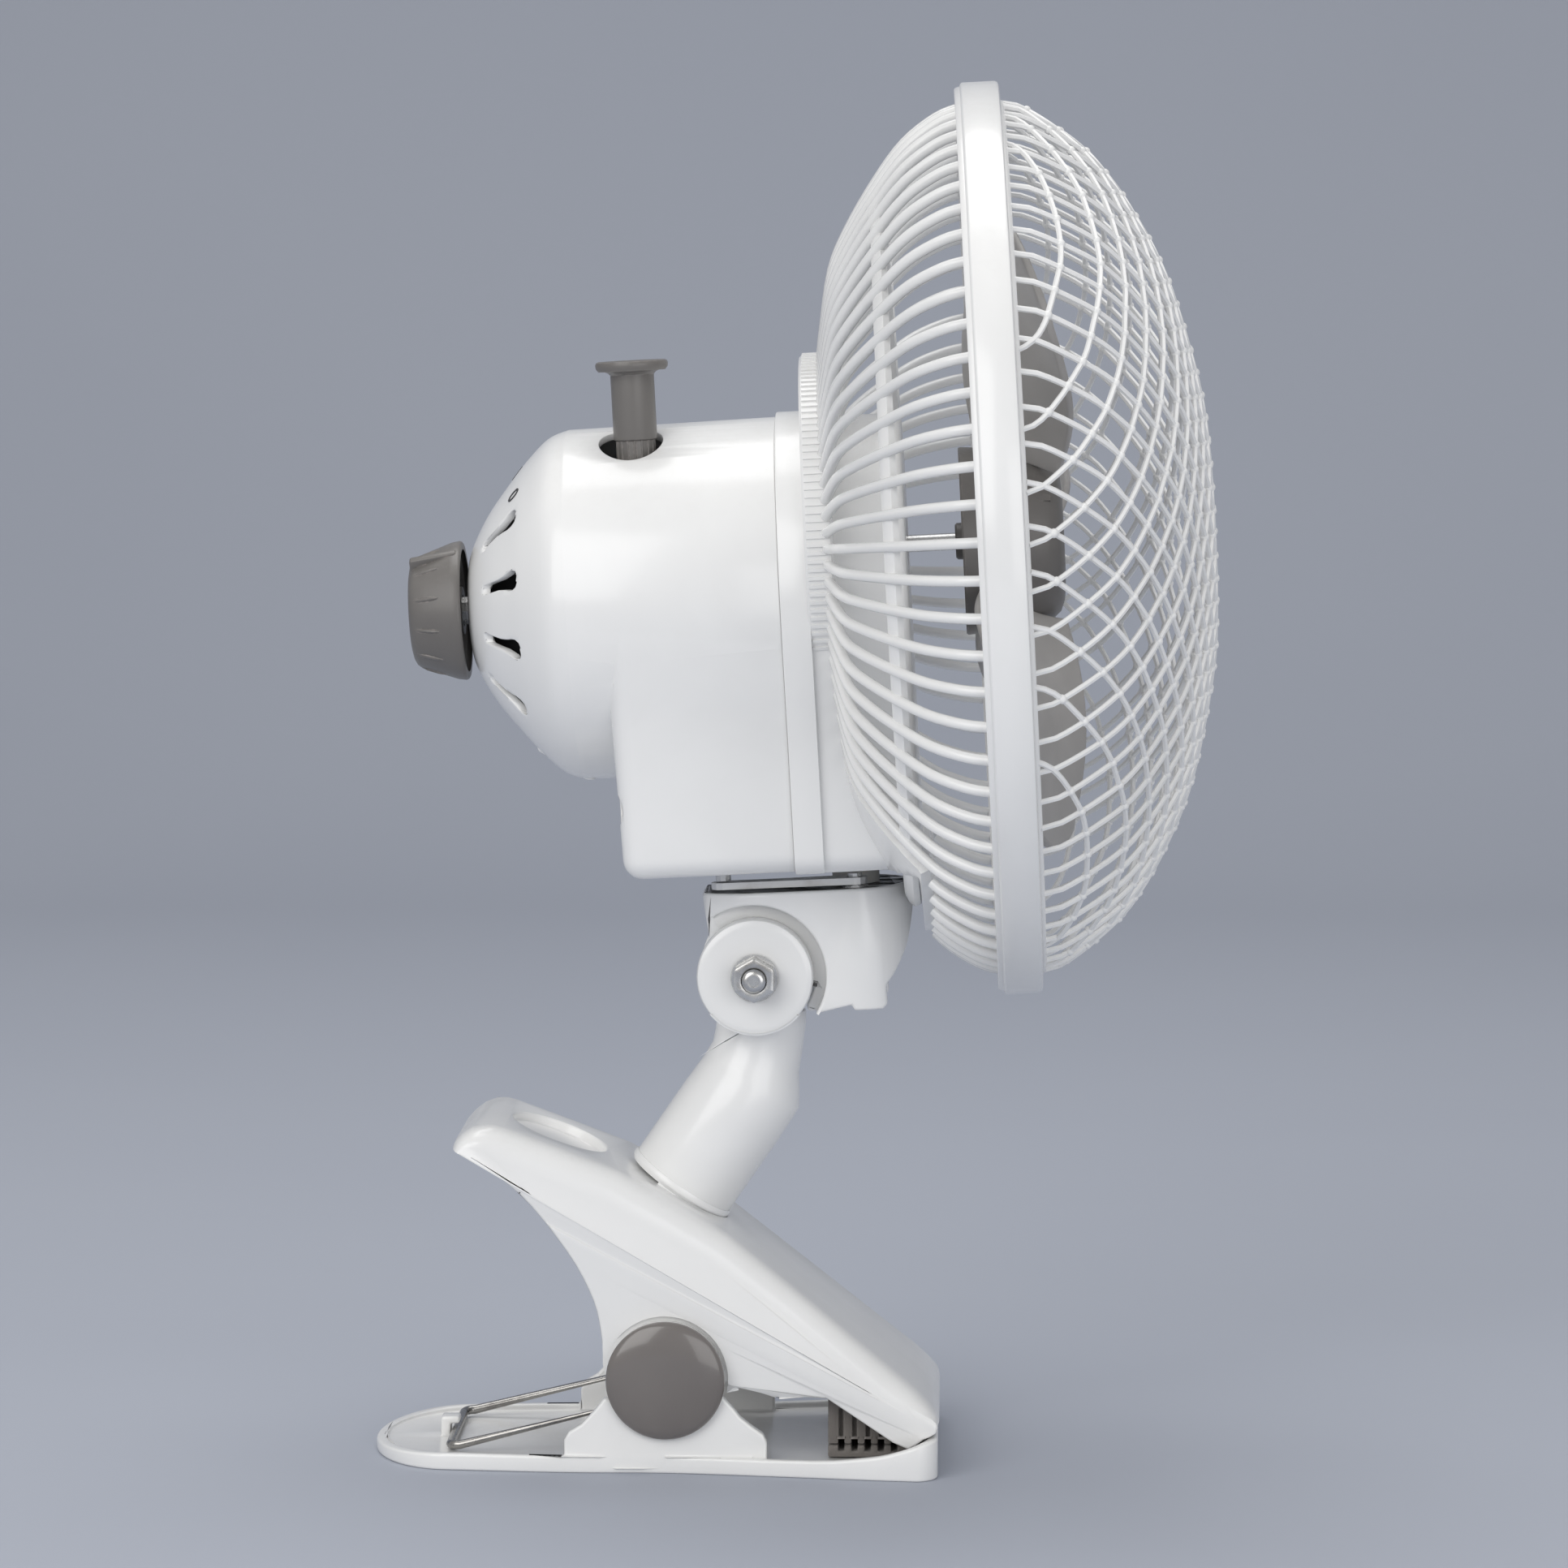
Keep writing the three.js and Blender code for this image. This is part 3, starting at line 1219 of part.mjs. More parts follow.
function impeller() {
  const hub = turned('x', [
    [hubRearX, 0], [hubRearX, hubRadius], [hubFrontX - 5, hubRadius - 1.6], [hubFrontX - 1.5, hubRadius - 3.4],
    [hubFrontX, hubRadius - 8], [hubFrontX, 0],
  ], roundSides);
  const hollow = turned('x', [
    [hubRearX - 1, 5.5], [hubRearX - 1, hubRadius - 2], [hubFrontX - 7, hubRadius - 4], [hubFrontX - 7, 5.5],
    [hubRearX - 1, 5.5],
  ], roundSides);
  const sleeve = rod('x', 3.8, hubRearX - 1.4, hubRearX + 2, [0, 0, 0], smallSides);
  const bore = rod('x', shaftRadius + gap, hubRearX - 5, shaftFrontX + gap, [0, 0, 0], smallSides);
  const blades = Array.from({ length: bladeCount }, (_, i) => blade(i));
  const keptOut = turned('x', [
    [hubRearX - 3, 0], [hubRearX - 3, hubRadius - 2.2], [hubFrontX - 7.2, hubRadius - 4.2],
    [hubFrontX - 7.2, 0],
  ], roundSides);
  const blading = joined(...blades).subtract(keptOut);
  return cutBy(joined(cutBy(joined(hub, sleeve), hollow), blading), bore);
}

function motorShaft() {
  return rod('x', shaftRadius, shaftRearX, shaftFrontX);
}

function rotor() {
  return tube('x', rotorRadius, shaftRadius + gap, stackRearX, stackFrontX, [0, 0, 0], innerSides);
}

function motorScrewSpots() {
  const reach = motorScrewPlace;
  return [45, 225].map((degrees) => {
    const angle = THREE.MathUtils.degToRad(degrees);
    return [reach * Math.cos(angle), reach * Math.sin(angle)];
  });
}

function statorCore() {
  const yokeInner = statorRadius - yokeWidth;
  const yoke = tube('x', statorRadius, yokeInner, stackRearX, stackFrontX, [0, 0, 0], roundSides);
  const poles = Array.from({ length: poleCount }, (_, i) => {
    const pole = new THREE.BoxGeometry(stackFrontX - stackRearX, poleWidth, statorRadius - rotorRadius - 3);
    pole.translate((stackRearX + stackFrontX) / 2, 0, (statorRadius + rotorRadius - 1) / 2);
    pole.rotateX((i / poleCount) * 2 * Math.PI);
    const shoe = new THREE.BoxGeometry(stackFrontX - stackRearX, 12.5, 3);
    shoe.translate((stackRearX + stackFrontX) / 2, 0, rotorRadius + airGap + 1.3);
    shoe.rotateX((i / poleCount) * 2 * Math.PI);
    return joined(solidOf(pole), solidOf(shoe));
  });
  const lugs = motorScrewSpots().map(([y, z]) => rod('x', 3.4, stackRearX, stackFrontX, [0, y, z], screwSides));
  const bore = rod('x', rotorRadius + airGap, 0, 40, [0, 0, 0], innerSides);
  const holes = motorScrewSpots().map(([y, z]) => {
    return rod('x', motorScrewRadius + gap, 0, 40, [0, y, z], screwSides);
  });
  return cutBy(joined(yoke, ...poles, ...lugs), bore, ...holes);
}

function coil(index) {
  const inner = poleWidth / 2 + gap;
  const outer = inner + coilWidth;
  const low = rotorRadius + airGap + 2.8 + gap;
  const high = statorRadius - yokeWidth - 1.8;
  const ringOf = (half, rear, front) => {
    const box = new THREE.BoxGeometry(front - rear, 2 * half, high - low);
    box.translate((front + rear) / 2, 0, (high + low) / 2);
    box.rotateX((index / poleCount) * 2 * Math.PI);
    return box;
  };
  const solid = solidOf(ringOf(outer, stackRearX - coilHead, stackFrontX + coilHead));
  const hole = new THREE.BoxGeometry(stackFrontX - stackRearX + 2 * gap, 2 * inner, 60);
  hole.translate((stackRearX + stackFrontX) / 2, 0, 0);
  hole.rotateX((index / poleCount) * 2 * Math.PI);
  return solid.subtract(solidOf(hole));
}

function frontPlate() {
  const disc = rod('x', 21, frontPlateX, frontPlateX + platingThickness, [0, 0, 0], innerSides);
  const ears = motorScrewSpots().map(([y, z]) => {
    return rod('x', 4.2, frontPlateX, frontPlateX + platingThickness, [0, y, z], screwSides);
  });
  const legs = motorScrewSpots().map(([y, z]) => {
    return rod('x', 3.2, stackFrontX + gap, frontPlateX + 1, [0, y, z], screwSides);
  });
  const seat = rod('x', bearingSeatRadius, 0, 60);
  const holes = motorScrewSpots().map(([y, z]) => {
    return rod('x', motorScrewRadius + gap, 0, 60, [0, y, z], screwSides);
  });
  const collar = rod('x', bearingSeatRadius + 2, frontPlateX - 1.6, frontPlateX + 1);
  return cutBy(joined(disc, collar, ...ears, ...legs), seat, ...holes);
}

function bearing(fromX) {
  const bore = (shaftRadius + bearingFit) / Math.cos(Math.PI / smallSides);
  return tube('x', bearingSeatRadius - gap, bore, fromX, fromX + bearingLength);
}

function motorScrew(index) {
  const [y, z] = motorScrewSpots()[index];
  const head = housingRearX - gap;
  const profile = [
    [head - 2, 0], [head - 2, 2.8], [head, 2.8], [head, motorScrewRadius],
    [frontPlateX + platingThickness + 1.8, motorScrewRadius], [frontPlateX + platingThickness + 1.8, 0],
  ];
  return turned('x', profile, screwSides, [0, y, z]);
}

// ---------------------------------------------------------------- gear train
function worm() {
  const from = wormX - wormLength / 2;
  const profile = [[from, shaftRadius + gap]];
  const threads = 3;
  for (let i = 0; i < threads; i++) {
    const x = from + (wormLength * i) / threads;
    const step = wormLength / threads;
    profile.push([x, wormRadius - 0.7], [x + step * 0.4, wormRadius], [x + step * 0.7, wormRadius]);
  }
  profile.push([from + wormLength, wormRadius - 0.7], [from + wormLength, shaftRadius + gap]);
  profile.push([from, shaftRadius + gap]);
  return turned('x', profile, smallSides);
}

function wormWheel() {
  const outline = gearOutline(wheelTeeth, wheelRadius, 1.1, wormX, wheelOffset);
  const wheel = plate('z', outline, -wheelThickness / 2, wheelThickness / 2);
  return wheel.subtract(rod('z', sleeveRadius + gap, -9, 9, [wormX, wheelOffset, 0]));
}

const shelfGap = wheelThickness / 2 + gap;
const shelfThickness = 2.4;
const sleeveFoot = gearTop - gearThickness - 1;

function clutchSleeve() {
  const bore = clutchRodRadius + gap;
  return tube('z', sleeveRadius, bore, sleeveFoot, shelfGap + shelfThickness, [wormX, wheelOffset, 0]);
}

const gearDistance = Math.hypot(crankX - wormX, crankY - wheelOffset);
const pinionPitch = (gearDistance * pinionTeeth) / (pinionTeeth + gearTeeth);
const gearPitch = gearDistance - pinionPitch;

function clutchPinion() {
  // a tooth space of the pinion faces a tooth of the crank gear on the line of centres
  const line = Math.atan2(crankY - wheelOffset, crankX - wormX);
  const turn = line - (0.25 / pinionTeeth) * 2 * Math.PI;
  const outline = gearOutline(pinionTeeth, pinionPitch + toothTop, toothDepth, wormX, wheelOffset, turn);
  const pinion = plate('z', outline, gearTop - gearThickness, gearTop);
  return pinion.subtract(rod('z', sleeveRadius + gap, -70, -30, [wormX, wheelOffset, 0]));
}

function crankGear() {
  const line = Math.atan2(wheelOffset - crankY, wormX - crankX);
  const turn = line - (0.75 / gearTeeth) * 2 * Math.PI;
  const outline = gearOutline(gearTeeth, gearPitch + toothTop, toothDepth, crankX, crankY, turn);
  const gear = plate('z', outline, gearTop - gearThickness, gearTop);
  return gear.subtract(rod('z', crankShaftRadius + gap, -70, -30, [crankX, crankY, 0]));
}

function crank() {
  const shaft = rod('z', crankShaftRadius, crankDiscTop - 1, gearTop + 1.5, [crankX, crankY, 0]);
  const disc = rod('z', crankDiscRadius, crankDiscTop - 2.6, crankDiscTop, [crankX, crankY, 0], 24);
  const pin = rod('z', crankPinRadius, crankDiscTop - 2.6 - 2.3, crankDiscTop, [crankPinX, crankPinY, 0]);
  return joined(shaft, disc, pin);
}

function gearHousing() {
  const discRear = housingRearX;
  const disc = rod('x', 22, discRear, discRear + platingThickness, [0, 0, 0], innerSides);
  const legs = motorScrewSpots().map(([y, z]) => {
    return rod('x', 3.2, discRear + 1, stackRearX - gap, [0, y, z], screwSides);
  });
  const collar = rod('x', bearingSeatRadius + 2, discRear - 2, discRear + 4.4);
  const arms = [-1, 1].map((side) => {
    const faces = [side * shelfGap, side * (shelfGap + shelfThickness)].sort((a, b) => a - b);
    return block(wormX - 6, discRear + 1, wheelOffset - 6, wheelOffset + 6, faces[0], faces[1]);
  });
  const strap = block(-16, 6, 14.6, 17, -58, -9);
  const foot = block(-16, discRear + 1, 14.6, 17, -14, -9).add(block(discRear, discRear + 2.4, 6, 17, -20, -6));
  const shelfTop = gearTop - gearThickness - gap;
  const shelf = block(wormX - 6, 9, wheelOffset - 6, 17, shelfTop - shelfThickness, shelfTop);
  const bearingSeat = rod('x', bearingSeatRadius, -20, 40);
  const sleeve = rod('z', sleeveRadius + gap, -60, 20, [wormX, wheelOffset, 0]);
  const crankHole = rod('z', crankShaftRadius + gap, -70, -30, [crankX, crankY, 0]);
  const holes = motorScrewSpots().map(([y, z]) => {
    return rod('x', motorScrewRadius + gap, -10, 40, [0, y, z], screwSides);
  });
  const body = joined(disc, collar, ...legs, ...arms, strap, foot, shelf);
  return cutBy(body, bearingSeat, sleeve, crankHole, ...holes);
}

function plunger() {
  const cap = plungerFlangeTop;
  const profile = [
    [plungerFootZ, 0], [plungerFootZ, plungerFootRadius], [plungerStepZ, plungerFootRadius],
    [plungerStepZ, plungerStemRadius], [cap - plungerFlangeThickness, plungerStemRadius],
    [cap - plungerFlangeThickness, plungerFlangeRadius - 0.6], [cap - 1, plungerFlangeRadius],
    [cap, plungerFlangeRadius], [cap, plungerFlangeRadius - 1], [cap - 0.5, plungerFlangeRadius - 1.4],
    [cap - 0.5, 0],
  ];
  const body = turned('z', profile, innerSides, [plungerX, wheelOffset, 0]);
  const centre = [plungerX, wheelOffset, 0];
  return body.subtract(rod('z', clutchRodRadius + gap, plungerFootZ - 1, plungerFootZ + 8, centre, screwSides));
}

function clutchRod() {
  const top = plungerFootZ + 8 - gap;
  return rod('z', clutchRodRadius, clutchRodFoot, top, [plungerX, wheelOffset, 0], screwSides);
}

// ---------------------------------------------------------------- speed switch
function rotarySwitch() {
  const half = switchHalf;
  const body = block(switchRearX, switchFrontX, -half, half, shellDrop - half, shellDrop + half);
  const neck = rod('x', 5, switchRearX - 2.6, switchRearX + 1, [0, 0, shellDrop]);
  const tags = [-5, 0, 5].map((y) => {
    return block(switchFrontX - 1, switchFrontX + 5, y - 1, y + 1, shellDrop - 1, shellDrop);
  });
  const bore = rod('x', spindleRadius + gap, -70, switchFrontX - 3, [0, 0, shellDrop]);
  return cutBy(joined(body, neck, ...tags), bore);
}

function switchSpindle() {
  return rod('x', spindleRadius, knobFaceX + 4, switchFrontX - 4, [0, 0, shellDrop]);
}

function switchKnob() {
  const face = knobFaceX;
  const profile = [
    [knobRimX, knobRimRadius - knobWall], [knobRimX, knobRimRadius], [face + 1.2, knobFaceRadius + 0.5],
    [face, knobFaceRadius - 1.6], [face, 0], [face + 2.2, 0], [face + 2.2, knobFaceRadius - knobWall - 1],
    [knobRimX, knobRimRadius - knobWall],
  ];
  const cup = turned('x', profile, roundSides, [0, 0, shellDrop]);
  const socket = rod('x', spindleRadius + 2, face + 1, knobRimX - 0.5, [0, 0, shellDrop]);
  const bore = rod('x', spindleRadius + gap, face + 4 - gap, knobRimX + 5, [0, 0, shellDrop]);
  const angle = THREE.MathUtils.degToRad(30);
  const pointer = new THREE.BoxGeometry(9, 1.4, 2.4);
  pointer.translate((knobRimX + face) / 2, 0, knobRimRadius - 1.6);
  pointer.rotateX(angle);
  pointer.translate(0, 0, shellDrop);
  return cutBy(joined(cup, socket, solidOf(pointer)), bore);
}

// ---------------------------------------------------------------- assembly
const fan = new THREE.Group();
const neck = new THREE.Group();
neck.position.set(tiltX, 0, tiltZ);
neck.rotation.y = -tiltAtRest;
const head = new THREE.Group();
head.position.z = fanRise;
neck.add(head);
fan.add(neck);

fan.add(
  meshOf('lower_jaw', lowerJaw(), white),
  meshOf('lower_grip_pad', lowerPad(), rubber),
  meshOf('upper_jaw', upperJaw(), white),
  meshOf('upper_grip_pad', upperPad(), rubber),
  meshOf('hinge_pin', rod('y', hingePinRadius, -earHalfWidth, earHalfWidth, [0, 0, hingeHeight]), steel),
  meshOf('hinge_cap_near', hingeCap(-1), grey),
  meshOf('hinge_cap_far', hingeCap(1), grey),
  meshOf('clip_spring', clipSpring(), wire),
  meshOf('arm', arm(), white),
  meshOf('arm_screw_1', armScrew(0), steel),
  meshOf('arm_screw_2', armScrew(1), steel),
  meshOf('tilt_bolt', tiltBolt(), steel),
  meshOf('tilt_nut', tiltNut(), steel),
  meshOf('tilt_washer_near', tiltWasher(-1), steel),
  meshOf('tilt_washer_far', tiltWasher(1), steel),
);

neck.add(meshOf('neck_bracket', bracket(), white));

head.add(
  meshOf('pan_post', panPost(), nylon),
  meshOf('post_screw', postScrew(), steel),
  meshOf('pan_retainer', panRetainer(), steel),
  meshOf('retainer_screw', retainerScrew(), steel),
  meshOf('link_pin', linkPin(), steel),
  meshOf('oscillation_link', oscillationLink(), steel),
  meshOf('rear_grille', rearGrille(), white),
  meshOf('rear_cover', rearCover(), white),
  meshOf('guard_ring', guardRing(), white),
  meshOf('front_guard', frontGuard(), white),
  meshOf('impeller', impeller(), grey),
  meshOf('motor_shaft', motorShaft(), steel),
  meshOf('rotor', rotor(), laminated),
  meshOf('stator_core', statorCore(), laminated),
  meshOf('front_plate', frontPlate(), zinc),
  meshOf('front_bearing', bearing(frontPlateX - 2), brass),
  meshOf('rear_bearing', bearing(-6), brass),
  meshOf('gear_housing', gearHousing(), zinc),
  meshOf('drive_worm', worm(), brass),
  meshOf('worm_wheel', wormWheel(), nylon),
  meshOf('clutch_sleeve', clutchSleeve(), steel),
  meshOf('clutch_pinion', clutchPinion(), nylon),
  meshOf('crank_gear', crankGear(), nylon),
  meshOf('crank', crank(), steel),
  meshOf('plunger', plunger(), grey),
  meshOf('clutch_rod', clutchRod(), steel),
  meshOf('rotary_switch', rotarySwitch(), dark),
  meshOf('switch_spindle', switchSpindle(), steel),
  meshOf('switch_knob', switchKnob(), grey),
  meshOf('cord_gland', cordGland(), rubber),
);
for (let i = 0; i < poleCount; i++) head.add(meshOf(`coil_${i + 1}`, coil(i), copper));
for (let i = 0; i < 2; i++) head.add(meshOf(`motor_screw_${i + 1}`, motorScrew(i), steel));
coverScrewPlaces.forEach((_, i) => head.add(meshOf(`cover_screw_${i + 1}`, coverScrew(i), steel)));

export default fan;
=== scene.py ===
import json
from math import cos, hypot, pi, radians, sin, sqrt

import bmesh
import bpy
from mathutils import Matrix, Vector, noise

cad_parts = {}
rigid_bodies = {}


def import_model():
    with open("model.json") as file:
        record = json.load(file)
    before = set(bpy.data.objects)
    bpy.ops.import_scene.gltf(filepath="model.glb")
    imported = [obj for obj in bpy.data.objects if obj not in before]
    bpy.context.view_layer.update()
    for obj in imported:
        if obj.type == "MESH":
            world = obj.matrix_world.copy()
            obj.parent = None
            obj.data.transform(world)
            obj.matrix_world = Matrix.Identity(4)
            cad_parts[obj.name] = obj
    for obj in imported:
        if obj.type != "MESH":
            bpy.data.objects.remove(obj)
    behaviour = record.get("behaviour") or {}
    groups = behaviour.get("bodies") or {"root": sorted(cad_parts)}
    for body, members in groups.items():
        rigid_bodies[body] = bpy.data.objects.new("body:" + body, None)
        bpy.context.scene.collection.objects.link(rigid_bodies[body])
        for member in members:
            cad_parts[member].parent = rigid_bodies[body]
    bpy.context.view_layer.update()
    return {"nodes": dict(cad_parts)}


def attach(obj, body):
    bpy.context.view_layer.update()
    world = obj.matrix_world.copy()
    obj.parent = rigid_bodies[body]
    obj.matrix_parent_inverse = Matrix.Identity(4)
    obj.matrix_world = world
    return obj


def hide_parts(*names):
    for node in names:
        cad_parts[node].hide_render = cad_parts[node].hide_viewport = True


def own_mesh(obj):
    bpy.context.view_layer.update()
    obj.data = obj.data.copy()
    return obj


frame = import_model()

shownObjects = bpy.context.scene.collection.objects
print("frame:", len(frame["nodes"]), "nodes")

# Pieces are shaped in millimetres. The head's pieces are shaped about the fan axis, the neck's about
# the tilt axis and the clip's in the object's own axes. Each is placed in metres at the end.
toMetres = Matrix.Scale(0.001, 4)
clipPlace = Matrix()
neckPlace = Matrix.Translation((0.0181, 0, 0.1019)) @ Matrix.Rotation(radians(-3), 4, "Y")
headPlace = neckPlace @ Matrix.Translation((0, 0, 0.0875))
alongAxis = {"x": Matrix(), "y": Matrix.Rotation(radians(90), 4, "Z"),
             "z": Matrix.Rotation(radians(-90), 4, "Y")}


# colours and node groups
def paint(code):
    values = [int(code[i:i + 2], 16) / 255 for i in (0, 2, 4)]
    return tuple(v / 12.92 if v < 0.04045 else ((v + 0.055) / 1.055) ** 2.4 for v in values) + (1.0,)


def addNode(tree, kind, inputs=None, **settings):
    node = tree.nodes.new(kind)
    for key, value in settings.items():
        setattr(node, key, value)
    for key, value in (inputs or {}).items():
        if isinstance(value, bpy.types.NodeSocket):
            tree.links.new(value, node.inputs[key])
        else:
            node.inputs[key].default_value = value
    return node


def mixed(tree, amount, first, second):
    mix = addNode(tree, "ShaderNodeMix", {0: amount, 6: first, 7: second}, data_type="RGBA")
    return mix.outputs[2]


def product(tree, first, second):
    return addNode(tree, "ShaderNodeMath", {0: first, 1: second}, operation="MULTIPLY").outputs[0]


def mottled(tree, place, scale, detail, roughness=0.5):
    # a noise texture's value
    return addNode(tree, "ShaderNodeTexNoise", {
        "Vector": place, "Scale": scale, "Detail": detail, "Roughness": roughness}).outputs[0]


def stepped(tree, value, low, high):
    # 0 below the low value, 1 above the high one
    return addNode(tree, "ShaderNodeMapRange", {0: value, 1: low, 2: high}).outputs[0]


def newGroup(name, inputs, outputs):
    group = bpy.data.node_groups.new(name, "ShaderNodeTree")
    for label, kind, value in inputs:
        group.interface.new_socket(name=label, in_out="INPUT", socket_type=kind).default_value = value
    for label, kind in outputs:
        group.interface.new_socket(name=label, in_out="OUTPUT", socket_type=kind)
    return group, group.nodes.new("NodeGroupInput"), group.nodes.new("NodeGroupOutput")


def variedRoughness(group, start, pattern):
    # the group's roughness, varied by a pattern about its middle
    centred = addNode(group, "ShaderNodeMath", {0: pattern, 1: -0.5}, operation="ADD")
    return addNode(group, "ShaderNodeMath", {
        0: centred.outputs[0], 1: start.outputs["RoughnessSpread"], 2: start.outputs["Roughness"]},
        operation="MULTIPLY_ADD", use_clamp=True).outputs[0]


def makeMouldSkin():
    # slow flow marks from the mould, and the fine texture of its polished face
    group, start, end = newGroup("mouldSkin", [
        ("Colour", "NodeSocketColor", (0.8, 0.8, 0.8, 1)), ("Shade", "NodeSocketColor", (0.7, 0.7, 0.7, 1)),
        ("Shading", "NodeSocketFloat", 0.3), ("FlowScale", "NodeSocketFloat", 26),
        ("GrainScale", "NodeSocketFloat", 1400), ("Roughness", "NodeSocketFloat", 0.25),
        ("RoughnessSpread", "NodeSocketFloat", 0.1)],
        [("Colour", "NodeSocketColor"), ("Roughness", "NodeSocketFloat"), ("Height", "NodeSocketFloat")])
    place = addNode(group, "ShaderNodeTexCoord").outputs["Object"]
    flow = addNode(group, "ShaderNodeTexNoise", {
        "Vector": place, "Scale": start.outputs["FlowScale"], "Detail": 4, "Roughness": 0.5,
        "Distortion": 0.6})
    grain = mottled(group, place, start.outputs["GrainScale"], 2, 0.6)
    smudge = mottled(group, place, 95, 5, 0.65)
    much = product(group, stepped(group, flow.outputs[0], 0.38, 0.68), start.outputs["Shading"])
    colour = mixed(group, much, start.outputs["Colour"], start.outputs["Shade"])
    group.links.new(colour, end.inputs["Colour"])
    group.links.new(variedRoughness(group, start, smudge), end.inputs["Roughness"])
    group.links.new(grain, end.inputs["Height"])
    return group


def makeEdgeWearAndShade():
    # where handling has polished or lightened the outer edges; on the blades the same mask paints a darker
    # edge, which is painted shade
    group, start, end = newGroup("edgeWearAndShade", [
        ("Width", "NodeSocketFloat", 0.0006), ("Breakup", "NodeSocketFloat", 700)],
        [("Mask", "NodeSocketFloat")])
    rounded = addNode(group, "ShaderNodeBevel", {"Radius": start.outputs["Width"]}, samples=4)
    surface = addNode(group, "ShaderNodeNewGeometry")
    dot = addNode(group, "ShaderNodeVectorMath", {
        0: rounded.outputs[0], 1: surface.outputs["Normal"]}, operation="DOT_PRODUCT")
    edge = addNode(group, "ShaderNodeMapRange", {0: dot.outputs["Value"], 1: 0.995, 2: 0.85, 3: 0.0, 4: 1.0})
    place = addNode(group, "ShaderNodeTexCoord").outputs["Object"]
    some = stepped(group, mottled(group, place, start.outputs["Breakup"], 3), 0.42, 0.6)
    group.links.new(product(group, edge.outputs[0], some), end.inputs["Mask"])
    return group


def makeSettledDust():
    group, start, end = newGroup("settledDust", [("Amount", "NodeSocketFloat", 0.1)],
                                 [("Mask", "NodeSocketFloat")])
    surface = addNode(group, "ShaderNodeNewGeometry")
    split = addNode(group, "ShaderNodeSeparateXYZ", {0: surface.outputs["Normal"]})
    upward = stepped(group, split.outputs["Z"], 0.35, 1.0)
    place = addNode(group, "ShaderNodeTexCoord").outputs["Object"]
    some = stepped(group, mottled(group, place, 380, 6, 0.75), 0.45, 0.75)
    mask = product(group, product(group, upward, some), start.outputs["Amount"])
    group.links.new(mask, end.inputs["Mask"])
    return group


def makeDrawnMetal():
    # fine lines left by a tool or a die; Stretch squeezes the pattern along each axis
    group, start, end = newGroup("drawnMetal", [
        ("Stretch", "NodeSocketVector", (1, 1, 1)), ("LineScale", "NodeSocketFloat", 900),
        ("Roughness", "NodeSocketFloat", 0.3), ("RoughnessSpread", "NodeSocketFloat", 0.25)],
        [("Roughness", "NodeSocketFloat"), ("Height", "NodeSocketFloat"), ("Stain", "NodeSocketFloat")])
    place = addNode(group, "ShaderNodeTexCoord").outputs["Object"]
    squeezed = addNode(group, "ShaderNodeVectorMath", {0: place, 1: start.outputs["Stretch"]},
                       operation="MULTIPLY")
    lines = mottled(group, squeezed.outputs[0], start.outputs["LineScale"], 3)
    stain = mottled(group, place, 160, 5, 0.6)
    group.links.new(variedRoughness(group, start, lines), end.inputs["Roughness"])
    group.links.new(lines, end.inputs["Height"])
    group.links.new(stepped(group, stain, 0.48, 0.72), end.inputs["Stain"])
    return group


mouldSkin = makeMouldSkin()
edgeWearAndShade = makeEdgeWearAndShade()
settledDust = makeSettledDust()
drawnMetal = makeDrawnMetal()


def newMaterial(name, facts):
    material = bpy.data.materials.new(name)
    material.use_nodes = True
    tree = material.node_tree
    shader = tree.nodes["Principled BSDF"]
    for socket, value in facts.items():
        shader.inputs[socket].default_value = value
    return material, tree, shader


def roughen(tree, shader, height, depth, distance):
    bump = addNode(tree, "ShaderNodeBump", {"Height": height, "Strength": depth, "Distance": distance})
    tree.links.new(bump.outputs[0], shader.inputs["Normal"])


def filledGroup(tree, group, inputs):
    node = tree.nodes.new("ShaderNodeGroup")
    node.node_tree = group
    for label, value in inputs.items():
        node.inputs[label].default_value = value
    return node


dustColour = paint("CFCBC4")


def plasticFinish(name, look):
    material, tree, shader = newMaterial(name, look["shader"])
    skin = filledGroup(tree, mouldSkin, look["skin"])
    dust = filledGroup(tree, settledDust, {"Amount": look["dust"]})
    colour = mixed(tree, dust.outputs["Mask"], skin.outputs["Colour"], dustColour)
    if look.get("edgeRubAndShade"):
        edges = filledGroup(tree, edgeWearAndShade, look["edgeRubAndShade"])
        colour = mixed(tree, edges.outputs["Mask"], colour, look["edgeRubAndShadeColour"])
    tree.links.new(colour, shader.inputs["Base Color"])
    tree.links.new(skin.outputs["Roughness"], shader.inputs["Roughness"])
    roughen(tree, shader, skin.outputs["Height"], look["depth"], look.get("distance", 0.0001))
    return material


def metalFinish(name, look):
    material, tree, shader = newMaterial(name, {"Metallic": 1.0})
    drawn = filledGroup(tree, drawnMetal, look["drawn"])
    edges = filledGroup(tree, edgeWearAndShade, look["edgeRubAndShade"])
    stained = mixed(tree, drawn.outputs["Stain"], look["colour"], look["stain"])
    colour = mixed(tree, edges.outputs["Mask"], stained, look["edgeRubAndShadeColour"])
    tree.links.new(colour, shader.inputs["Base Color"])
    tree.links.new(drawn.outputs["Roughness"], shader.inputs["Roughness"])
    roughen(tree, shader, drawn.outputs["Height"], look["depth"], 0.00005)
    return material


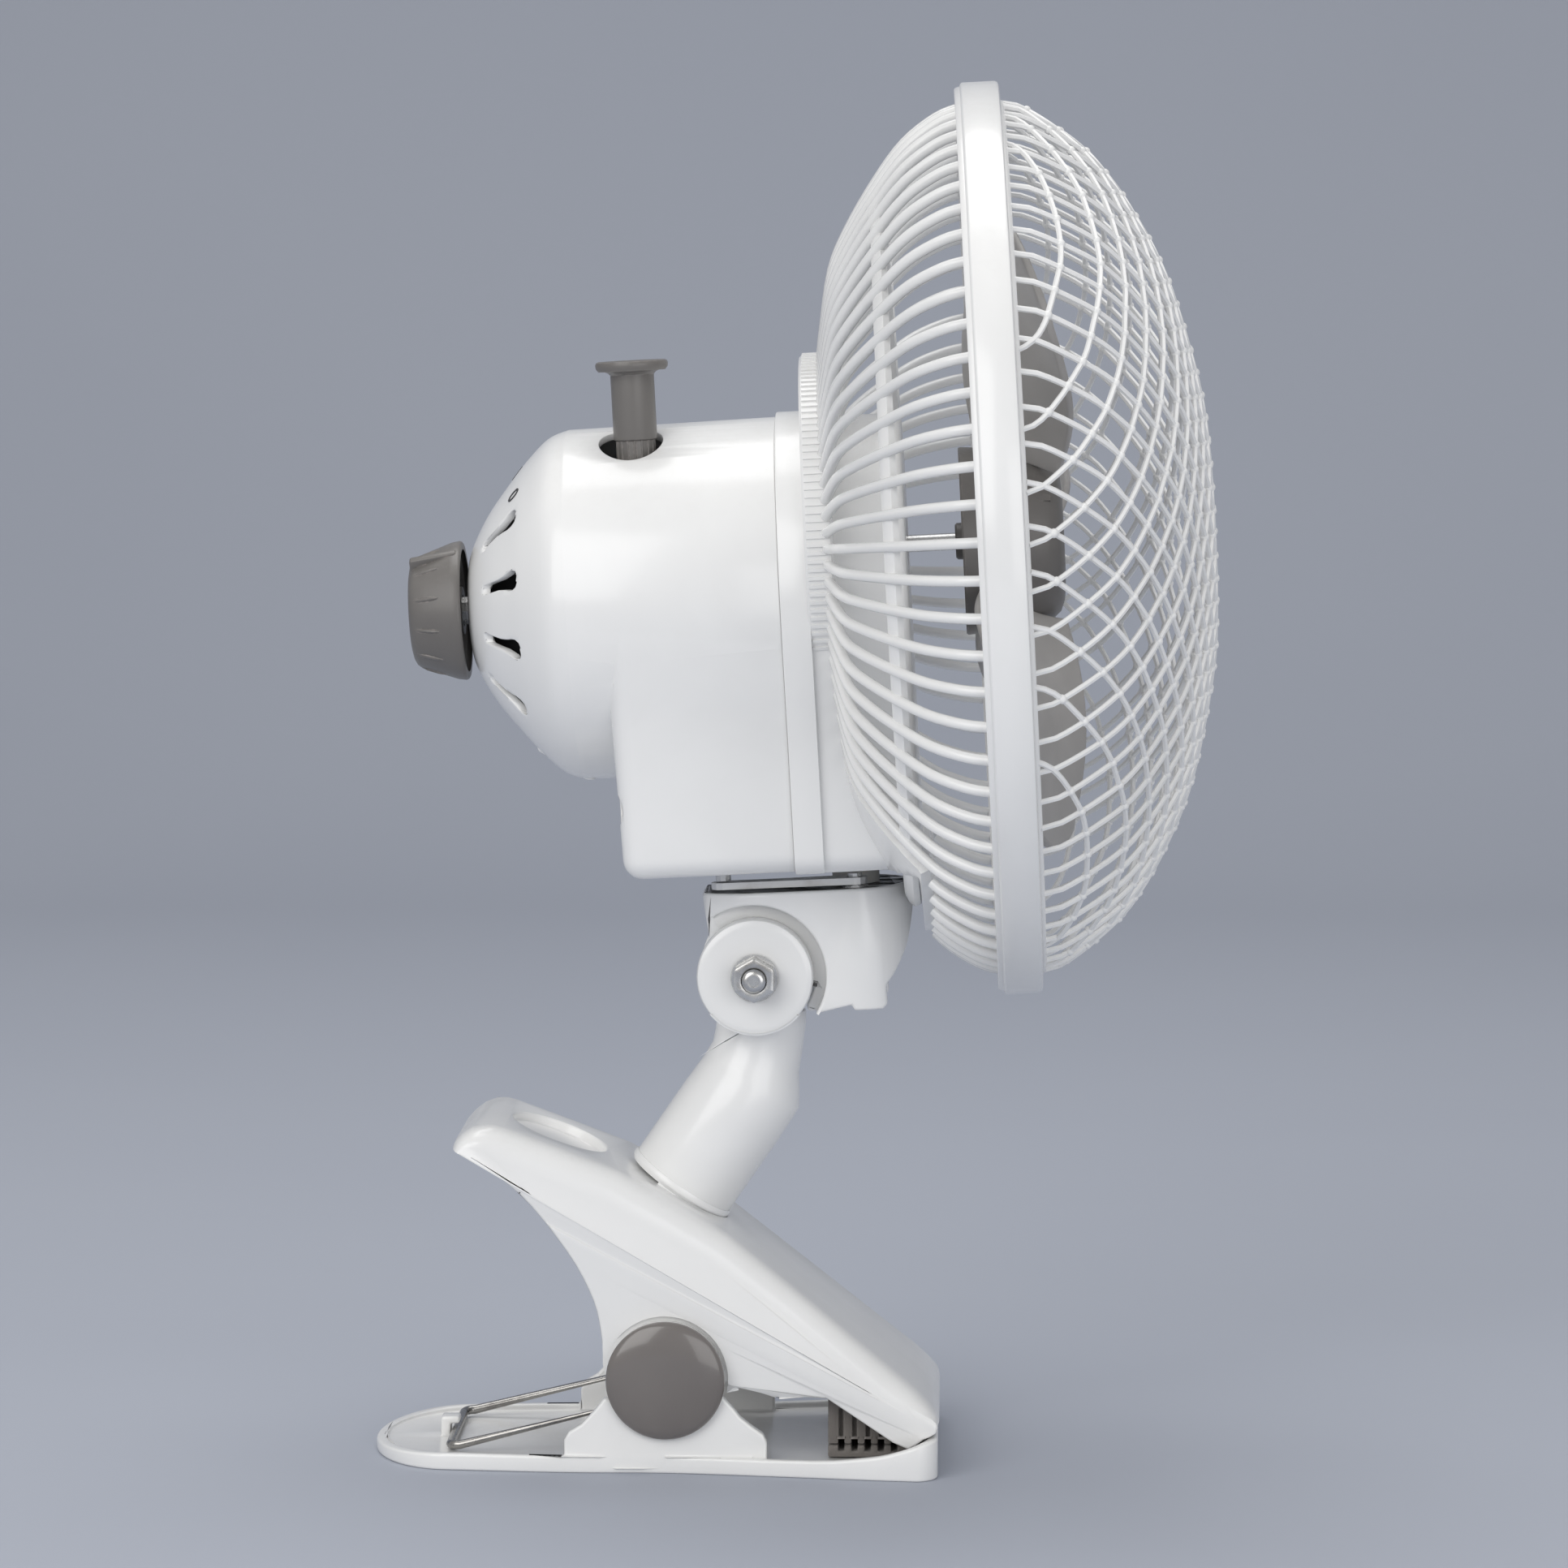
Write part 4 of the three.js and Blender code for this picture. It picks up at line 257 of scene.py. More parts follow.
def bandedFinish(name, look):
    # turns of wire or stacked sheets: even bands along one axis
    material, tree, shader = newMaterial(name, look["shader"])
    place = addNode(tree, "ShaderNodeTexCoord").outputs["Object"]
    bands = addNode(tree, "ShaderNodeTexWave", {
        "Vector": place, "Scale": look["scale"], "Distortion": look["wander"], "Detail": 2,
        "Detail Scale": 1.5}, wave_type="BANDS", bands_direction=look["direction"])
    colour = mixed(tree, bands.outputs["Fac"], look["groove"], look["crest"])
    rough = addNode(tree, "ShaderNodeMapRange", {
        0: bands.outputs["Fac"], 3: look["rough"] + 0.2, 4: look["rough"]})
    tree.links.new(colour, shader.inputs["Base Color"])
    tree.links.new(rough.outputs[0], shader.inputs["Roughness"])
    roughen(tree, shader, bands.outputs["Fac"], 0.6, 0.0001)
    return material


whiteSkin = {
    "Colour": paint("EFEFEE"), "Shade": paint("E4E4E3"), "Shading": 0.5, "FlowScale": 22, "GrainScale": 900,
    "Roughness": 0.24, "RoughnessSpread": 0.1}
whitePlastic = plasticFinish("whiteGloss", {
    "shader": {"Coat Weight": 0.25, "Coat Roughness": 0.12, "Specular IOR Level": 0.5},
    "skin": whiteSkin, "dust": 0.16, "depth": 0.06})
netPlastic = plasticFinish("whiteNet", {
    "shader": {"Specular IOR Level": 0.5},
    "skin": {**whiteSkin, "Colour": paint("F1F1F0"), "GrainScale": 1600, "Roughness": 0.34},
    "dust": 0.12, "depth": 0.12})
greyPlastic = plasticFinish("warmGrey", {
    "shader": {"Specular IOR Level": 0.5},
    "skin": {"Colour": paint("716E6B"), "Shade": paint("656260"), "Shading": 0.6, "FlowScale": 40,
             "GrainScale": 1500, "Roughness": 0.36, "RoughnessSpread": 0.14},
    "dust": 0.1, "depth": 0.18,
    "edgeRubAndShade": {"Width": 0.0005, "Breakup": 900}, "edgeRubAndShadeColour": paint("8D8783")})
capPlastic = plasticFinish("glossGrey", {
    "shader": {"Coat Weight": 0.5, "Coat Roughness": 0.06, "Specular IOR Level": 0.5},
    "skin": {"Colour": paint("75706D"), "Shade": paint("6A6563"), "Shading": 0.5, "FlowScale": 45,
             "GrainScale": 1300, "Roughness": 0.22, "RoughnessSpread": 0.1},
    "dust": 0.06, "depth": 0.05,
    "edgeRubAndShade": {"Width": 0.0004, "Breakup": 900}, "edgeRubAndShadeColour": paint("8D8783")})
# the blades' edges take a darker colour: painted shade along the edge thickness
bladePlastic = plasticFinish("bladeGrey", {
    "shader": {"Specular IOR Level": 0.5},
    "skin": {"Colour": paint("B3B0AD"), "Shade": paint("9B9895"), "Shading": 0.7, "FlowScale": 30,
             "GrainScale": 1200, "Roughness": 0.3, "RoughnessSpread": 0.12},
    "dust": 0.25, "depth": 0.08,
    "edgeRubAndShade": {"Width": 0.0011, "Breakup": 120}, "edgeRubAndShadeColour": paint("6E6967")})
gripRubber = plasticFinish("gripRubber", {
    "shader": {"Specular IOR Level": 0.35, "Sheen Weight": 0.15},
    "skin": {"Colour": paint("777270"), "Shade": paint("69655F"), "Shading": 0.7, "FlowScale": 60,
             "GrainScale": 2600, "Roughness": 0.72, "RoughnessSpread": 0.12},
    "dust": 0.3, "depth": 0.45, "distance": 0.0002,
    "edgeRubAndShade": {"Width": 0.0005, "Breakup": 600}, "edgeRubAndShadeColour": paint("8C8783")})
darkPlastic = plasticFinish("switchBlack", {
    "shader": {"Specular IOR Level": 0.5},
    "skin": {"Colour": paint("2B2B2D"), "Shade": paint("222224"), "Shading": 0.6, "FlowScale": 60,
             "GrainScale": 1800, "Roughness": 0.5, "RoughnessSpread": 0.15},
    "dust": 0.3, "depth": 0.3,
    "edgeRubAndShade": {"Width": 0.0004, "Breakup": 800}, "edgeRubAndShadeColour": paint("4A4A4C")})
nylonPlastic = plasticFinish("naturalNylon", {
    "shader": {"Specular IOR Level": 0.45, "Subsurface Weight": 0.1, "Subsurface Scale": 0.002},
    "skin": {"Colour": paint("E8E6E0"), "Shade": paint("DAD7CF"), "Shading": 0.7, "FlowScale": 70,
             "GrainScale": 1500, "Roughness": 0.42, "RoughnessSpread": 0.12},
    "dust": 0.15, "depth": 0.15})
markInk = plasticFinish("markInk", {
    "shader": {"Specular IOR Level": 0.4},
    "skin": {"Colour": paint("3A3A3C"), "Shade": paint("4C4C4E"), "Shading": 0.8, "FlowScale": 900,
             "GrainScale": 4000, "Roughness": 0.55, "RoughnessSpread": 0.2},
    "dust": 0.1, "depth": 0.2, "distance": 0.00005})
platedSteel = metalFinish("platedSteel", {
    "drawn": {"Stretch": (1, 0.15, 1), "LineScale": 1500, "Roughness": 0.26, "RoughnessSpread": 0.1},
    "edgeRubAndShade": {"Width": 0.0003, "Breakup": 1200}, "colour": paint("D2D2D1"), "stain": paint("B4B2AF"),
    "edgeRubAndShadeColour": paint("E4E4E3"), "depth": 0.08})
# a lighter copy of the plated steel, painted light for the link bar that sits in shade under the housing
satinSteelPaintedLight = metalFinish("satinSteelPaintedLight", {
    "drawn": {"Stretch": (1, 0.15, 1), "LineScale": 900, "Roughness": 0.55, "RoughnessSpread": 0.1},
    "edgeRubAndShade": {"Width": 0.0003, "Breakup": 1200}, "colour": paint("E2E2E1"), "stain": paint("CFCDCA"),
    "edgeRubAndShadeColour": paint("EEEEED"), "depth": 0.05})
nickelWire = metalFinish("nickelWire", {
    "drawn": {"Stretch": (0.12, 1, 1), "LineScale": 2200, "Roughness": 0.26, "RoughnessSpread": 0.2},
    "edgeRubAndShade": {"Width": 0.0003, "Breakup": 1500}, "colour": paint("A5A3A0"), "stain": paint("7D7A77"),
    "edgeRubAndShadeColour": paint("C9C7C4"), "depth": 0.25})
castAlloy = metalFinish("castAlloy", {
    "drawn": {"Stretch": (1, 1, 1), "LineScale": 1100, "Roughness": 0.55, "RoughnessSpread": 0.3},
    "edgeRubAndShade": {"Width": 0.0005, "Breakup": 700}, "colour": paint("9A9DA0"), "stain": paint("7E8184"),
    "edgeRubAndShadeColour": paint("BFC1C3"), "depth": 0.8})
bearingBronze = metalFinish("bearingBronze", {
    "drawn": {"Stretch": (0.2, 1, 1), "LineScale": 1300, "Roughness": 0.38, "RoughnessSpread": 0.25},
    "edgeRubAndShade": {"Width": 0.0004, "Breakup": 900}, "colour": paint("B5914A"), "stain": paint("8A6A33"),
    "edgeRubAndShadeColour": paint("D8BC80"), "depth": 0.4})
woundCopper = bandedFinish("woundCopper", {
    "shader": {"Metallic": 0.85, "Coat Weight": 0.4, "Coat Roughness": 0.2}, "scale": 620, "wander": 0.6,
    "direction": "DIAGONAL", "groove": paint("5A2412"), "crest": paint("B4622F"), "rough": 0.3})
coreSteel = bandedFinish("coreSteel", {
    "shader": {"Metallic": 1.0}, "scale": 320, "wander": 0.25, "direction": "X",
    "groove": paint("4A4D50"), "crest": paint("84888C"), "rough": 0.42})
print("materials:", len(bpy.data.materials))


# shaping
def cleaned(bm, reach=0.002):
    bmesh.ops.remove_doubles(bm, verts=bm.verts, dist=reach)
    bmesh.ops.dissolve_degenerate(bm, edges=bm.edges, dist=reach)
    bmesh.ops.recalc_face_normals(bm, faces=bm.faces)
    return bm


def smoothLine(points, perSpan=4):
    # a smooth line through the points
    line = []
    for i in range(len(points) - 1):
        before, here = Vector(points[max(i - 1, 0)]), Vector(points[i])
        there, after = Vector(points[i + 1]), Vector(points[min(i + 2, len(points) - 1)])
        for k in range(perSpan):
            t = k / perSpan
            line.append(0.5 * (2 * here + (there - before) * t
                               + (2 * before - 5 * here + 4 * there - after) * t * t
                               + (3 * here - before - 3 * there + after) * t ** 3))
    return [tuple(p) for p in line] + [tuple(points[-1])]


def arcPoints(u, v, radius, start, stop, steps):
    angles = [radians(start + (stop - start) * i / steps) for i in range(steps + 1)]
    return [(u + radius * cos(a), v + radius * sin(a)) for a in angles]


def rolled(bm, angle):
    # turned about the fan axis
    bmesh.ops.rotate(bm, cent=(0, 0, 0), matrix=Matrix.Rotation(angle, 3, "X"), verts=bm.verts)
    return bm


def spun(profile, steps=96, axis="x", centre=(0, 0, 0), closed=False, turn=360, begin=0):
    # a profile of (along, radius) points turned about an axis
    bm = bmesh.new()
    verts = [bm.verts.new((along, 0, radius)) for along, radius in profile]
    edges = [bm.edges.new(pair) for pair in zip(verts, verts[1:])]
    if closed:
        edges.append(bm.edges.new((verts[-1], verts[0])))
    rolled(bm, radians(begin))
    bmesh.ops.spin(bm, geom=verts + edges, cent=(0, 0, 0), axis=(1, 0, 0), angle=radians(turn), steps=steps,
                   use_merge=turn == 360)
    bm.transform(Matrix.Translation(centre) @ alongAxis[axis])
    return cleaned(bm)


def pushed(outline, low, high, axis="z"):
    # an outline pushed along an axis: (x, y) outlines along z, (x, z) along y, (y, z) along x
    bm = bmesh.new()
    turns = {"z": Matrix(), "y": Matrix(((1, 0, 0, 0), (0, 0, 1, 0), (0, 1, 0, 0), (0, 0, 0, 1))),
             "x": Matrix(((0, 0, 1, 0), (1, 0, 0, 0), (0, 1, 0, 0), (0, 0, 0, 1)))}
    face = bm.faces.new([bm.verts.new((u, v, low)) for u, v in outline])
    made = bmesh.ops.extrude_face_region(bm, geom=[face])["geom"]
    bmesh.ops.translate(bm, vec=(0, 0, high - low),
                        verts=[v for v in made if isinstance(v, bmesh.types.BMVert)])
    bm.transform(turns[axis])
    return cleaned(bm)


def rod(axis, radius, low, high, centre=(0, 0, 0), steps=64):
    return spun([(low, 0), (low, radius), (high, radius), (high, 0)], steps, axis, centre)


def box(x0, x1, y0, y1, z0, z1):
    return pushed([(x0, y0), (x1, y0), (x1, y1), (x0, y1)], z0, z1)


def lofted(rings, segments=48):
    # rings of (centre, direction, half width across Y, half depth in the XZ plane), bridged in turn
    bm = bmesh.new()
    loops = []
    for centre, direction, wide, deep in rings:
        turn = Vector(direction).to_track_quat("Z", "Y").to_matrix().to_4x4()
        place = Matrix.Translation(centre) @ turn @ Matrix.Diagonal((wide, deep, 1, 1))
        ring = bmesh.ops.create_circle(bm, cap_ends=False, segments=segments, radius=1, matrix=place)["verts"]
        loops.append(list({e for v in ring for e in v.link_edges}))
    for first, second in zip(loops, loops[1:]):
        bmesh.ops.bridge_loops(bm, edges=first + second)
    bmesh.ops.holes_fill(bm, edges=bm.edges, sides=0)
    return cleaned(bm)


def slantRod(start, stop, radius, steps=64):
    direction = (Vector(stop) - Vector(start)).normalized()
    turn = Vector((1, 0, 0)).rotation_difference(direction).to_matrix().to_4x4()
    bm = rod("x", radius, 0, (Vector(stop) - Vector(start)).length, steps=steps)
    bm.transform(Matrix.Translation(start) @ turn)
    return bm


def softened(bm, width, segments=3, over=32, pick=None):
    edges = [e for e in bm.edges if len(e.link_faces) == 2 and e.calc_face_angle(0) > radians(over)]
    edges = [e for e in edges if pick is None or pick((e.verts[0].co + e.verts[1].co) / 2)]
    bmesh.ops.bevel(bm, geom=edges, offset=width, offset_type="OFFSET", segments=segments, profile=0.5,
                    affect="EDGES", clamp_overlap=False, material=-1)
    return bm


def together(*parts):
    bm = bmesh.new()
    for part in parts:
        mesh = bpy.data.meshes.new("part")
        part.to_mesh(mesh)
        part.free()
        bm.from_mesh(mesh)
        bpy.data.meshes.remove(mesh)
    return bm


def workObject(bm):
    mesh = bpy.data.meshes.new("work")
    bm.to_mesh(mesh)
    bm.free()
    made = bpy.data.objects.new("work", mesh)
    shownObjects.link(made)
    return made


def carved(bm, joins=(), keeps=(), cuts=()):
    base = workObject(bm)
    others = []
    for operation, tools in (("UNION", joins), ("INTERSECT", keeps), ("DIFFERENCE", cuts)):
        for tool in tools:
            other = workObject(tool)
            step = base.modifiers.new("step", "BOOLEAN")
            step.operation = operation
            step.solver = "EXACT"
            step.object = other
            others.append(other)
    bpy.context.view_layer.update()
    mesh = bpy.data.meshes.new_from_object(base.evaluated_get(bpy.context.evaluated_depsgraph_get()))
    result = bmesh.new()
    result.from_mesh(mesh)
    for spent in [base, *others]:
        bpy.data.objects.remove(spent)
    bpy.data.meshes.remove(mesh)
    return cleaned(result, 0.004)


def curveMesh(data):
    # the mesh of a curve or of text
    carrier = bpy.data.objects.new(data.name, data)
    shownObjects.link(carrier)
    bpy.context.view_layer.update()
    bm = bmesh.new()
    bm.from_mesh(carrier.to_mesh())
    bpy.data.objects.remove(carrier)
    return bm


def roundCurve(name, radius, resolution):
    curve = bpy.data.curves.new(name, "CURVE")
    curve.dimensions = "3D"
    curve.bevel_depth = radius
    curve.bevel_resolution = resolution
    curve.use_fill_caps = True
    return curve


def addStrand(curve, points):
    line = curve.splines.new("POLY")
    line.points.add(len(points) - 1)
    for point, place in zip(line.points, points):
        point.co = (*place, 1)


def makePiece(bm, name, body, material, place=headPlace, stands=(), sharp=38):
    cleaned(bm, 0.001)
    bm.transform(place @ toMetres)
    mesh = bpy.data.meshes.new(name)
    bm.to_mesh(mesh)
    bm.free()
    return finishPiece(bpy.data.objects.new(name, mesh), body, material, stands, sharp)


def finishPiece(piece, body, material, stands, sharp=38):
    if piece.name not in shownObjects:
        shownObjects.link(piece)
    piece.data.materials.clear()
    piece.data.materials.append(material)
    piece.data.shade_smooth()
    piece.data.set_sharp_from_angle(angle=radians(sharp))
    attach(piece, body)
    if stands:
        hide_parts(*stands)
    return piece


# clip: lower jaw
lowerJawFacts = {
    "tail": 62.5, "tailHalf": 26, "tailRound": 17.5, "nose": 56.3, "noseHalf": 35, "corner": 5, "floor": 2.2,
    "wall": 2.2, "earOuter": 28, "earThickness": 2.7, "earRadius": 12, "hingeHeight": 19.7, "pinHole": 2.8,
    "catchX": -46.85, "edge": 0.55}


def trayPlan(facts, inset):
    tail = facts["tail"] - inset
    half = [(-tail + facts["tailRound"] * (1 - cos(a)), (facts["tailHalf"] - inset) * sin(a))
            for a in (i / 16 * pi / 2 for i in range(17))]
    half += smoothLine([(-45, facts["tailHalf"] - inset), (-21, 28.02 - inset), (0, 28.02 - inset),
                        (22, 30.8 - inset), (43.3, facts["noseHalf"] - 1 - inset)], 4)[1:]
    corner = facts["corner"]
    half += arcPoints(facts["nose"] - inset - corner, facts["noseHalf"] - inset - corner, corner, 82, 0, 8)
    return half + [(x, -y) for x, y in reversed(half[1:])]


def makeLowerJaw(facts):
    side = [(-64, -1), (58, -1), (58, 8.6), (56.3, 8.4)]
    side += smoothLine([(53, 7.6), (46, 5.4), (40, 4.4), (30, 3.6), (0, 3.5), (-40, 3.5), (-52, 3.2),
                        (-64, 2.4)], 3)
    tray = carved(pushed(trayPlan(facts, 0), 0, 12), keeps=[pushed(side, -40, 40, "y")],
                  cuts=[pushed(trayPlan(facts, facts["wall"]), facts["floor"], 20)])
    foot = facts["floor"] / 2
    ear = [(21, foot), (21, 6.6), (20.2, 8.3), (17.6, 10.1), (15.4, 11.9), (14.1, 13.6)]
    ear += arcPoints(0, facts["hingeHeight"], facts["earRadius"], -22, 202, 40)[1:]
    ear += [(-12.6, 15.8), (-14.6, 13.2), (-17.4, 10.2), (-20, 8.6), (-21, 6.9), (-21, foot)]
    outer, inner = facts["earOuter"], facts["earOuter"] - facts["earThickness"]
    ears = [pushed(ear, *sorted((s * outer, s * inner)), "y") for s in (-1, 1)]
    catch = facts["catchX"]
    posts = [box(catch - 2, catch, -2.5, 2.5, foot, 6.4), box(catch - 2, catch + 1.9, -2.5, 2.5, 4.9, 6.4)]
    bm = carved(tray, joins=ears + posts,
                cuts=[rod("y", facts["pinHole"], -30, 30, (0, 0, facts["hingeHeight"]))])
    softened(bm, facts["edge"], 3, 40)
    makePiece(bm, "lowerJaw", "clip_base", whitePlastic, clipPlace, ["lower_jaw"])


makeLowerJaw(lowerJawFacts)

# clip: upper jaw, a hood whose shoulders round off and whose cheeks spread toward the nose
upperJawFacts = {
    "cheek": 25, "wall": 2.4, "shoulder": 6, "flare": 0.22, "flareStart": 18, "nose": 56.3,
    "hingeHeight": 19.7, "bossRadius": 12, "pinHole": 2.8, "earRoom": 12.9, "armFoot": (2, 0, 56.2),
    "armAim": (10.8, 0, 15.7), "seatRadius": 11.9, "socketRadius": 7.9, "recess": (-23.4, 0, 67.3),
    "recessSize": (10.5, 12), "recessDepth": 2.2, "recessTilt": 22.3, "edge": 0.5, "sharpNear": 14.5,
    "handleEnd": 45.6, "handleRounding": 21}
upperTop = [(-44.6, 66.6, 0.25), (-43.8, 68.4, 0.4), (-42.4, 69.8, 0.5), (-40.4, 71, 0.65),
            (-38.1, 71.5, 0.8), (-36, 71.5, 0.95), (-34, 71, 1), (-22, 66.6, 1), (-9.9, 62, 1),
            (1.6, 55.6, 1), (12.7, 48.9, 1), (28, 36.7, 1), (42.7, 24.8, 1), (48, 20.5, 0.95),
            (51.5, 17.7, 0.85), (54.2, 15, 0.6), (56.1, 12.7, 0.3), (56.6, 11, 0.1)]


def topNormal(index):
    before, after = upperTop[max(index - 1, 0)], upperTop[min(index + 1, len(upperTop) - 1)]
    length = hypot(after[0] - before[0], after[1] - before[1])
    return Vector((-(after[1] - before[1]) / length, 0, (after[0] - before[0]) / length))


def hood(facts, rest, halfWidth, inset):
    normals = [topNormal(i) for i in range(len(upperTop))]
    top = [Vector((x, 0, z)) - normals[i] * inset for i, (x, z, _) in enumerate(upperTop)]
    bm = pushed([(p.x, p.z) for p in top] + rest, -halfWidth, halfWidth, "y")
    around = facts["shoulder"] - inset
    stations = [halfWidth - around * (1 - cos(radians(a))) for a in (0, 20, 38, 54, 70, 90)][1:]
    for y in [s * station for station in stations for s in (-1, 1)]:
        bmesh.ops.bisect_plane(bm, geom=bm.verts[:] + bm.edges[:] + bm.faces[:], plane_co=(0, y, 0),
                               plane_no=(0, 1, 0))
    for vert in bm.verts:
        nearest = min(range(len(top)), key=lambda i: hypot(vert.co.x - top[i].x, vert.co.z - top[i].z))
        onTop = hypot(vert.co.x - top[nearest].x, vert.co.z - top[nearest].z) < 0.01
        past = (abs(vert.co.y) - (halfWidth - around)) / around
        if onTop and past > 0:
            drop = around * (1 - sqrt(max(0, 1 - past * past)))
            vert.co -= normals[nearest] * drop * upperTop[nearest][2]
    for vert in bm.verts:
        along = min(max((vert.co.x - facts["flareStart"]) / (facts["nose"] - facts["flareStart"]), 0), 1)
        vert.co.y *= 1 + facts["flare"] * along
    return cleaned(bm)


def thumbOval(facts, wider, low, high):
    # an oval plug square to the handle's top
    along, across = facts["recessSize"]
    outline = [(u * (along + wider), v * (across + wider)) for u, v in arcPoints(0, 0, 1, 0, 355, 71)]
    bm = pushed(outline, low, high)
    bm.transform(Matrix.Translation(facts["recess"]) @ Matrix.Rotation(radians(facts["recessTilt"]), 4, "Y"))
    return bm


def handlePlan(facts, inset):
    # the outline seen from above: a round-ended handle, open at the nose
    rounding, half = facts["handleRounding"], facts["cheek"] + 1
    middle = rounding - facts["handleEnd"]
    end = [(middle + u * (rounding - inset), v * (half - inset)) for u, v in arcPoints(0, 0, 1, 90, 270, 36)]
    return pushed([(80, -50), (80, 50), (middle, 50), *end, (middle, -50)], -20, 90)


def makeUpperJaw(facts):
    hinge = facts["hingeHeight"]
    under = [(56.1, 9.3), (54.8, 8.5), (53.3, 7.8), (51.8, 6.6), (50.2, 5.7), (47, 7), (33.3, 15.8),
             (30.8, 16.1), (27.6, 15.9), (23.5, 15.4), (19.8, 15), (15, 14.2)]
    boss = arcPoints(0, hinge, facts["bossRadius"], -35, -168, 24)
    back = smoothLine([(-13.1, 22.3), (-13.3, 27.4), (-15, 35.5), (-20.4, 45.7), (-30.6, 58.1),
                       (-42.6, 66.6)], 4)
    body = hood(facts, under + boss + back, facts["cheek"], 0)
    hollow = hood(facts, [(58, 2), (30, -6), (0, -6), (-25, 0), (-58, 54)], facts["cheek"] - facts["wall"],
                  facts["wall"])
    foot, aim = Vector(facts["armFoot"]), Vector(facts["armAim"]).normalized()
    span = facts["cheek"] - 1
    springRest = carved(pushed([(-22.5, 57.9), (-13.5, 54.1), (-8.5, 58.7), (-13.5, 67.7), (-26.5, 69.7)],
                               -span, span, "y"),
                        keeps=[hood(facts, under + boss + back, facts["cheek"] - 0.1, 0.1)])
    padRest = carved(pushed([(32.5, 18.4), (32.5, 20.4), (54, 11.9), (54, 9.9)], -span, span, "y"),
                     keeps=[hood(facts, under + boss + back, facts["cheek"] - 0.1, 0.1)])
    body = carved(body, keeps=[handlePlan(facts, 0)])
    hollow = carved(hollow, keeps=[handlePlan(facts, facts["wall"])])
    shell = carved(body, cuts=[hollow])
    rooms = [rod("y", facts["earRoom"], *sorted((s * facts["cheek"], s * 40)), (0, 0, hinge))
             for s in (-1, 1)]
    recess = thumbOval(facts, 0, -facts["recessDepth"], 6)
    recessBed = carved(thumbOval(facts, 1.8, -facts["recessDepth"] - 1.8, 6),
                       keeps=[hood(facts, under + boss + back, facts["cheek"] - 0.1, 0.1),
                              handlePlan(facts, 0.1)])
    bm = carved(shell, joins=[springRest, padRest, recessBed], cuts=[
        rod("y", facts["pinHole"], -30, 30, (0, 0, hinge)),
        slantRod(foot - aim * 1.2, foot + aim * 12, facts["seatRadius"]),
        slantRod(foot - aim * 12, foot + aim * 6, facts["socketRadius"]), recess, *rooms])
    softened(bm, facts["edge"], 3, 42, lambda p: hypot(p.x, p.z - hinge) > facts["sharpNear"])
    makePiece(bm, "upperJaw", "clip_lever", whitePlastic, clipPlace, ["upper_jaw"], sharp=32)


makeUpperJaw(upperJawFacts)
print("clip: jaws")

# clip: grip pads
padFacts = {"start": 33.5, "end": 50, "half": 22.5, "bottom": 2.5, "face": 4.9, "grooves": 5, "groove": 1.3,
            "edge": 0.35}


def padGrooves(facts, low, high):
    pitch = (facts["end"] - facts["start"]) / (facts["grooves"] + 1)
    middles = [facts["start"] + pitch * (i + 1) for i in range(facts["grooves"])]
    return [box(x - facts["groove"] / 2, x + facts["groove"] / 2, -30, 30, low, high) for x in middles]


def makePads(facts):
    lower = box(facts["start"], facts["end"], -facts["half"], facts["half"], facts["bottom"], facts["face"])
    lower = carved(lower, cuts=padGrooves(facts, facts["face"] - 1.2, 9))
    makePiece(softened(lower, facts["edge"], 2), "lowerGripPad", "clip_base", gripRubber,
              clipPlace, ["lower_grip_pad"])
    face = facts["face"] + 0.3
    outline = [(facts["start"], face), (48, face), (50.4, 7.4), (50.4, 9.9), (facts["start"], 17.4)]
    slots = [box(x - 0.45, x + 0.45, s * 21.2 - 1.2, s * 21.2 + 1.2, 6.6, 13.8 - (x - 33.5) * 0.42)
             for x in (36.2, 39, 41.8, 44.6) for s in (-1, 1)]
    upper = carved(pushed(outline, -facts["half"] + 0.6, facts["half"] - 0.6, "y"),
                   cuts=padGrooves(facts, facts["face"] - 1, face + 1.2) + slots)
    makePiece(softened(upper, facts["edge"], 2), "upperGripPad", "clip_lever", gripRubber,
              clipPlace, ["upper_grip_pad"])


makePads(padFacts)

# clip: hinge caps
capFacts = {"face": 28.3, "radius": 12.3, "edge": 0.9, "crown": 3.2, "hingeHeight": 19.7}


def makeHingeCaps(facts):
    face, radius, edge, crown = facts["face"], facts["radius"], facts["edge"], facts["crown"]
    dome = [(face + edge + (crown - edge) * sin(a), radius * cos(a) ** 0.8)
            for a in (radians(d) for d in range(8, 90, 6))]
    profile = [(face, 0), (face, radius - 0.5), (face + 0.4, radius), (face + edge, radius), *dome,
               (face + crown, 0)]
    for side, label, node in ((-1, "hingeCapNear", "hinge_cap_near"), (1, "hingeCapFar", "hinge_cap_far")):
        bm = spun([(side * y, r) for y, r in profile], 96, "y", (0, 0, facts["hingeHeight"]))
        makePiece(bm, label, "clip_base", capPlastic, clipPlace, [node])


makeHingeCaps(capFacts)

# clip: torsion spring, one wire through both coils
springFacts = {"wire": 1.9, "coil": 5, "turns": 4, "pitch": 2.7, "half": 18, "tailX": -45.6,
               "top": (-17.5, 54.5), "hingeHeight": 19.7, "floor": 2.5, "stepsPerTurn": 28, "lead": 0.31}


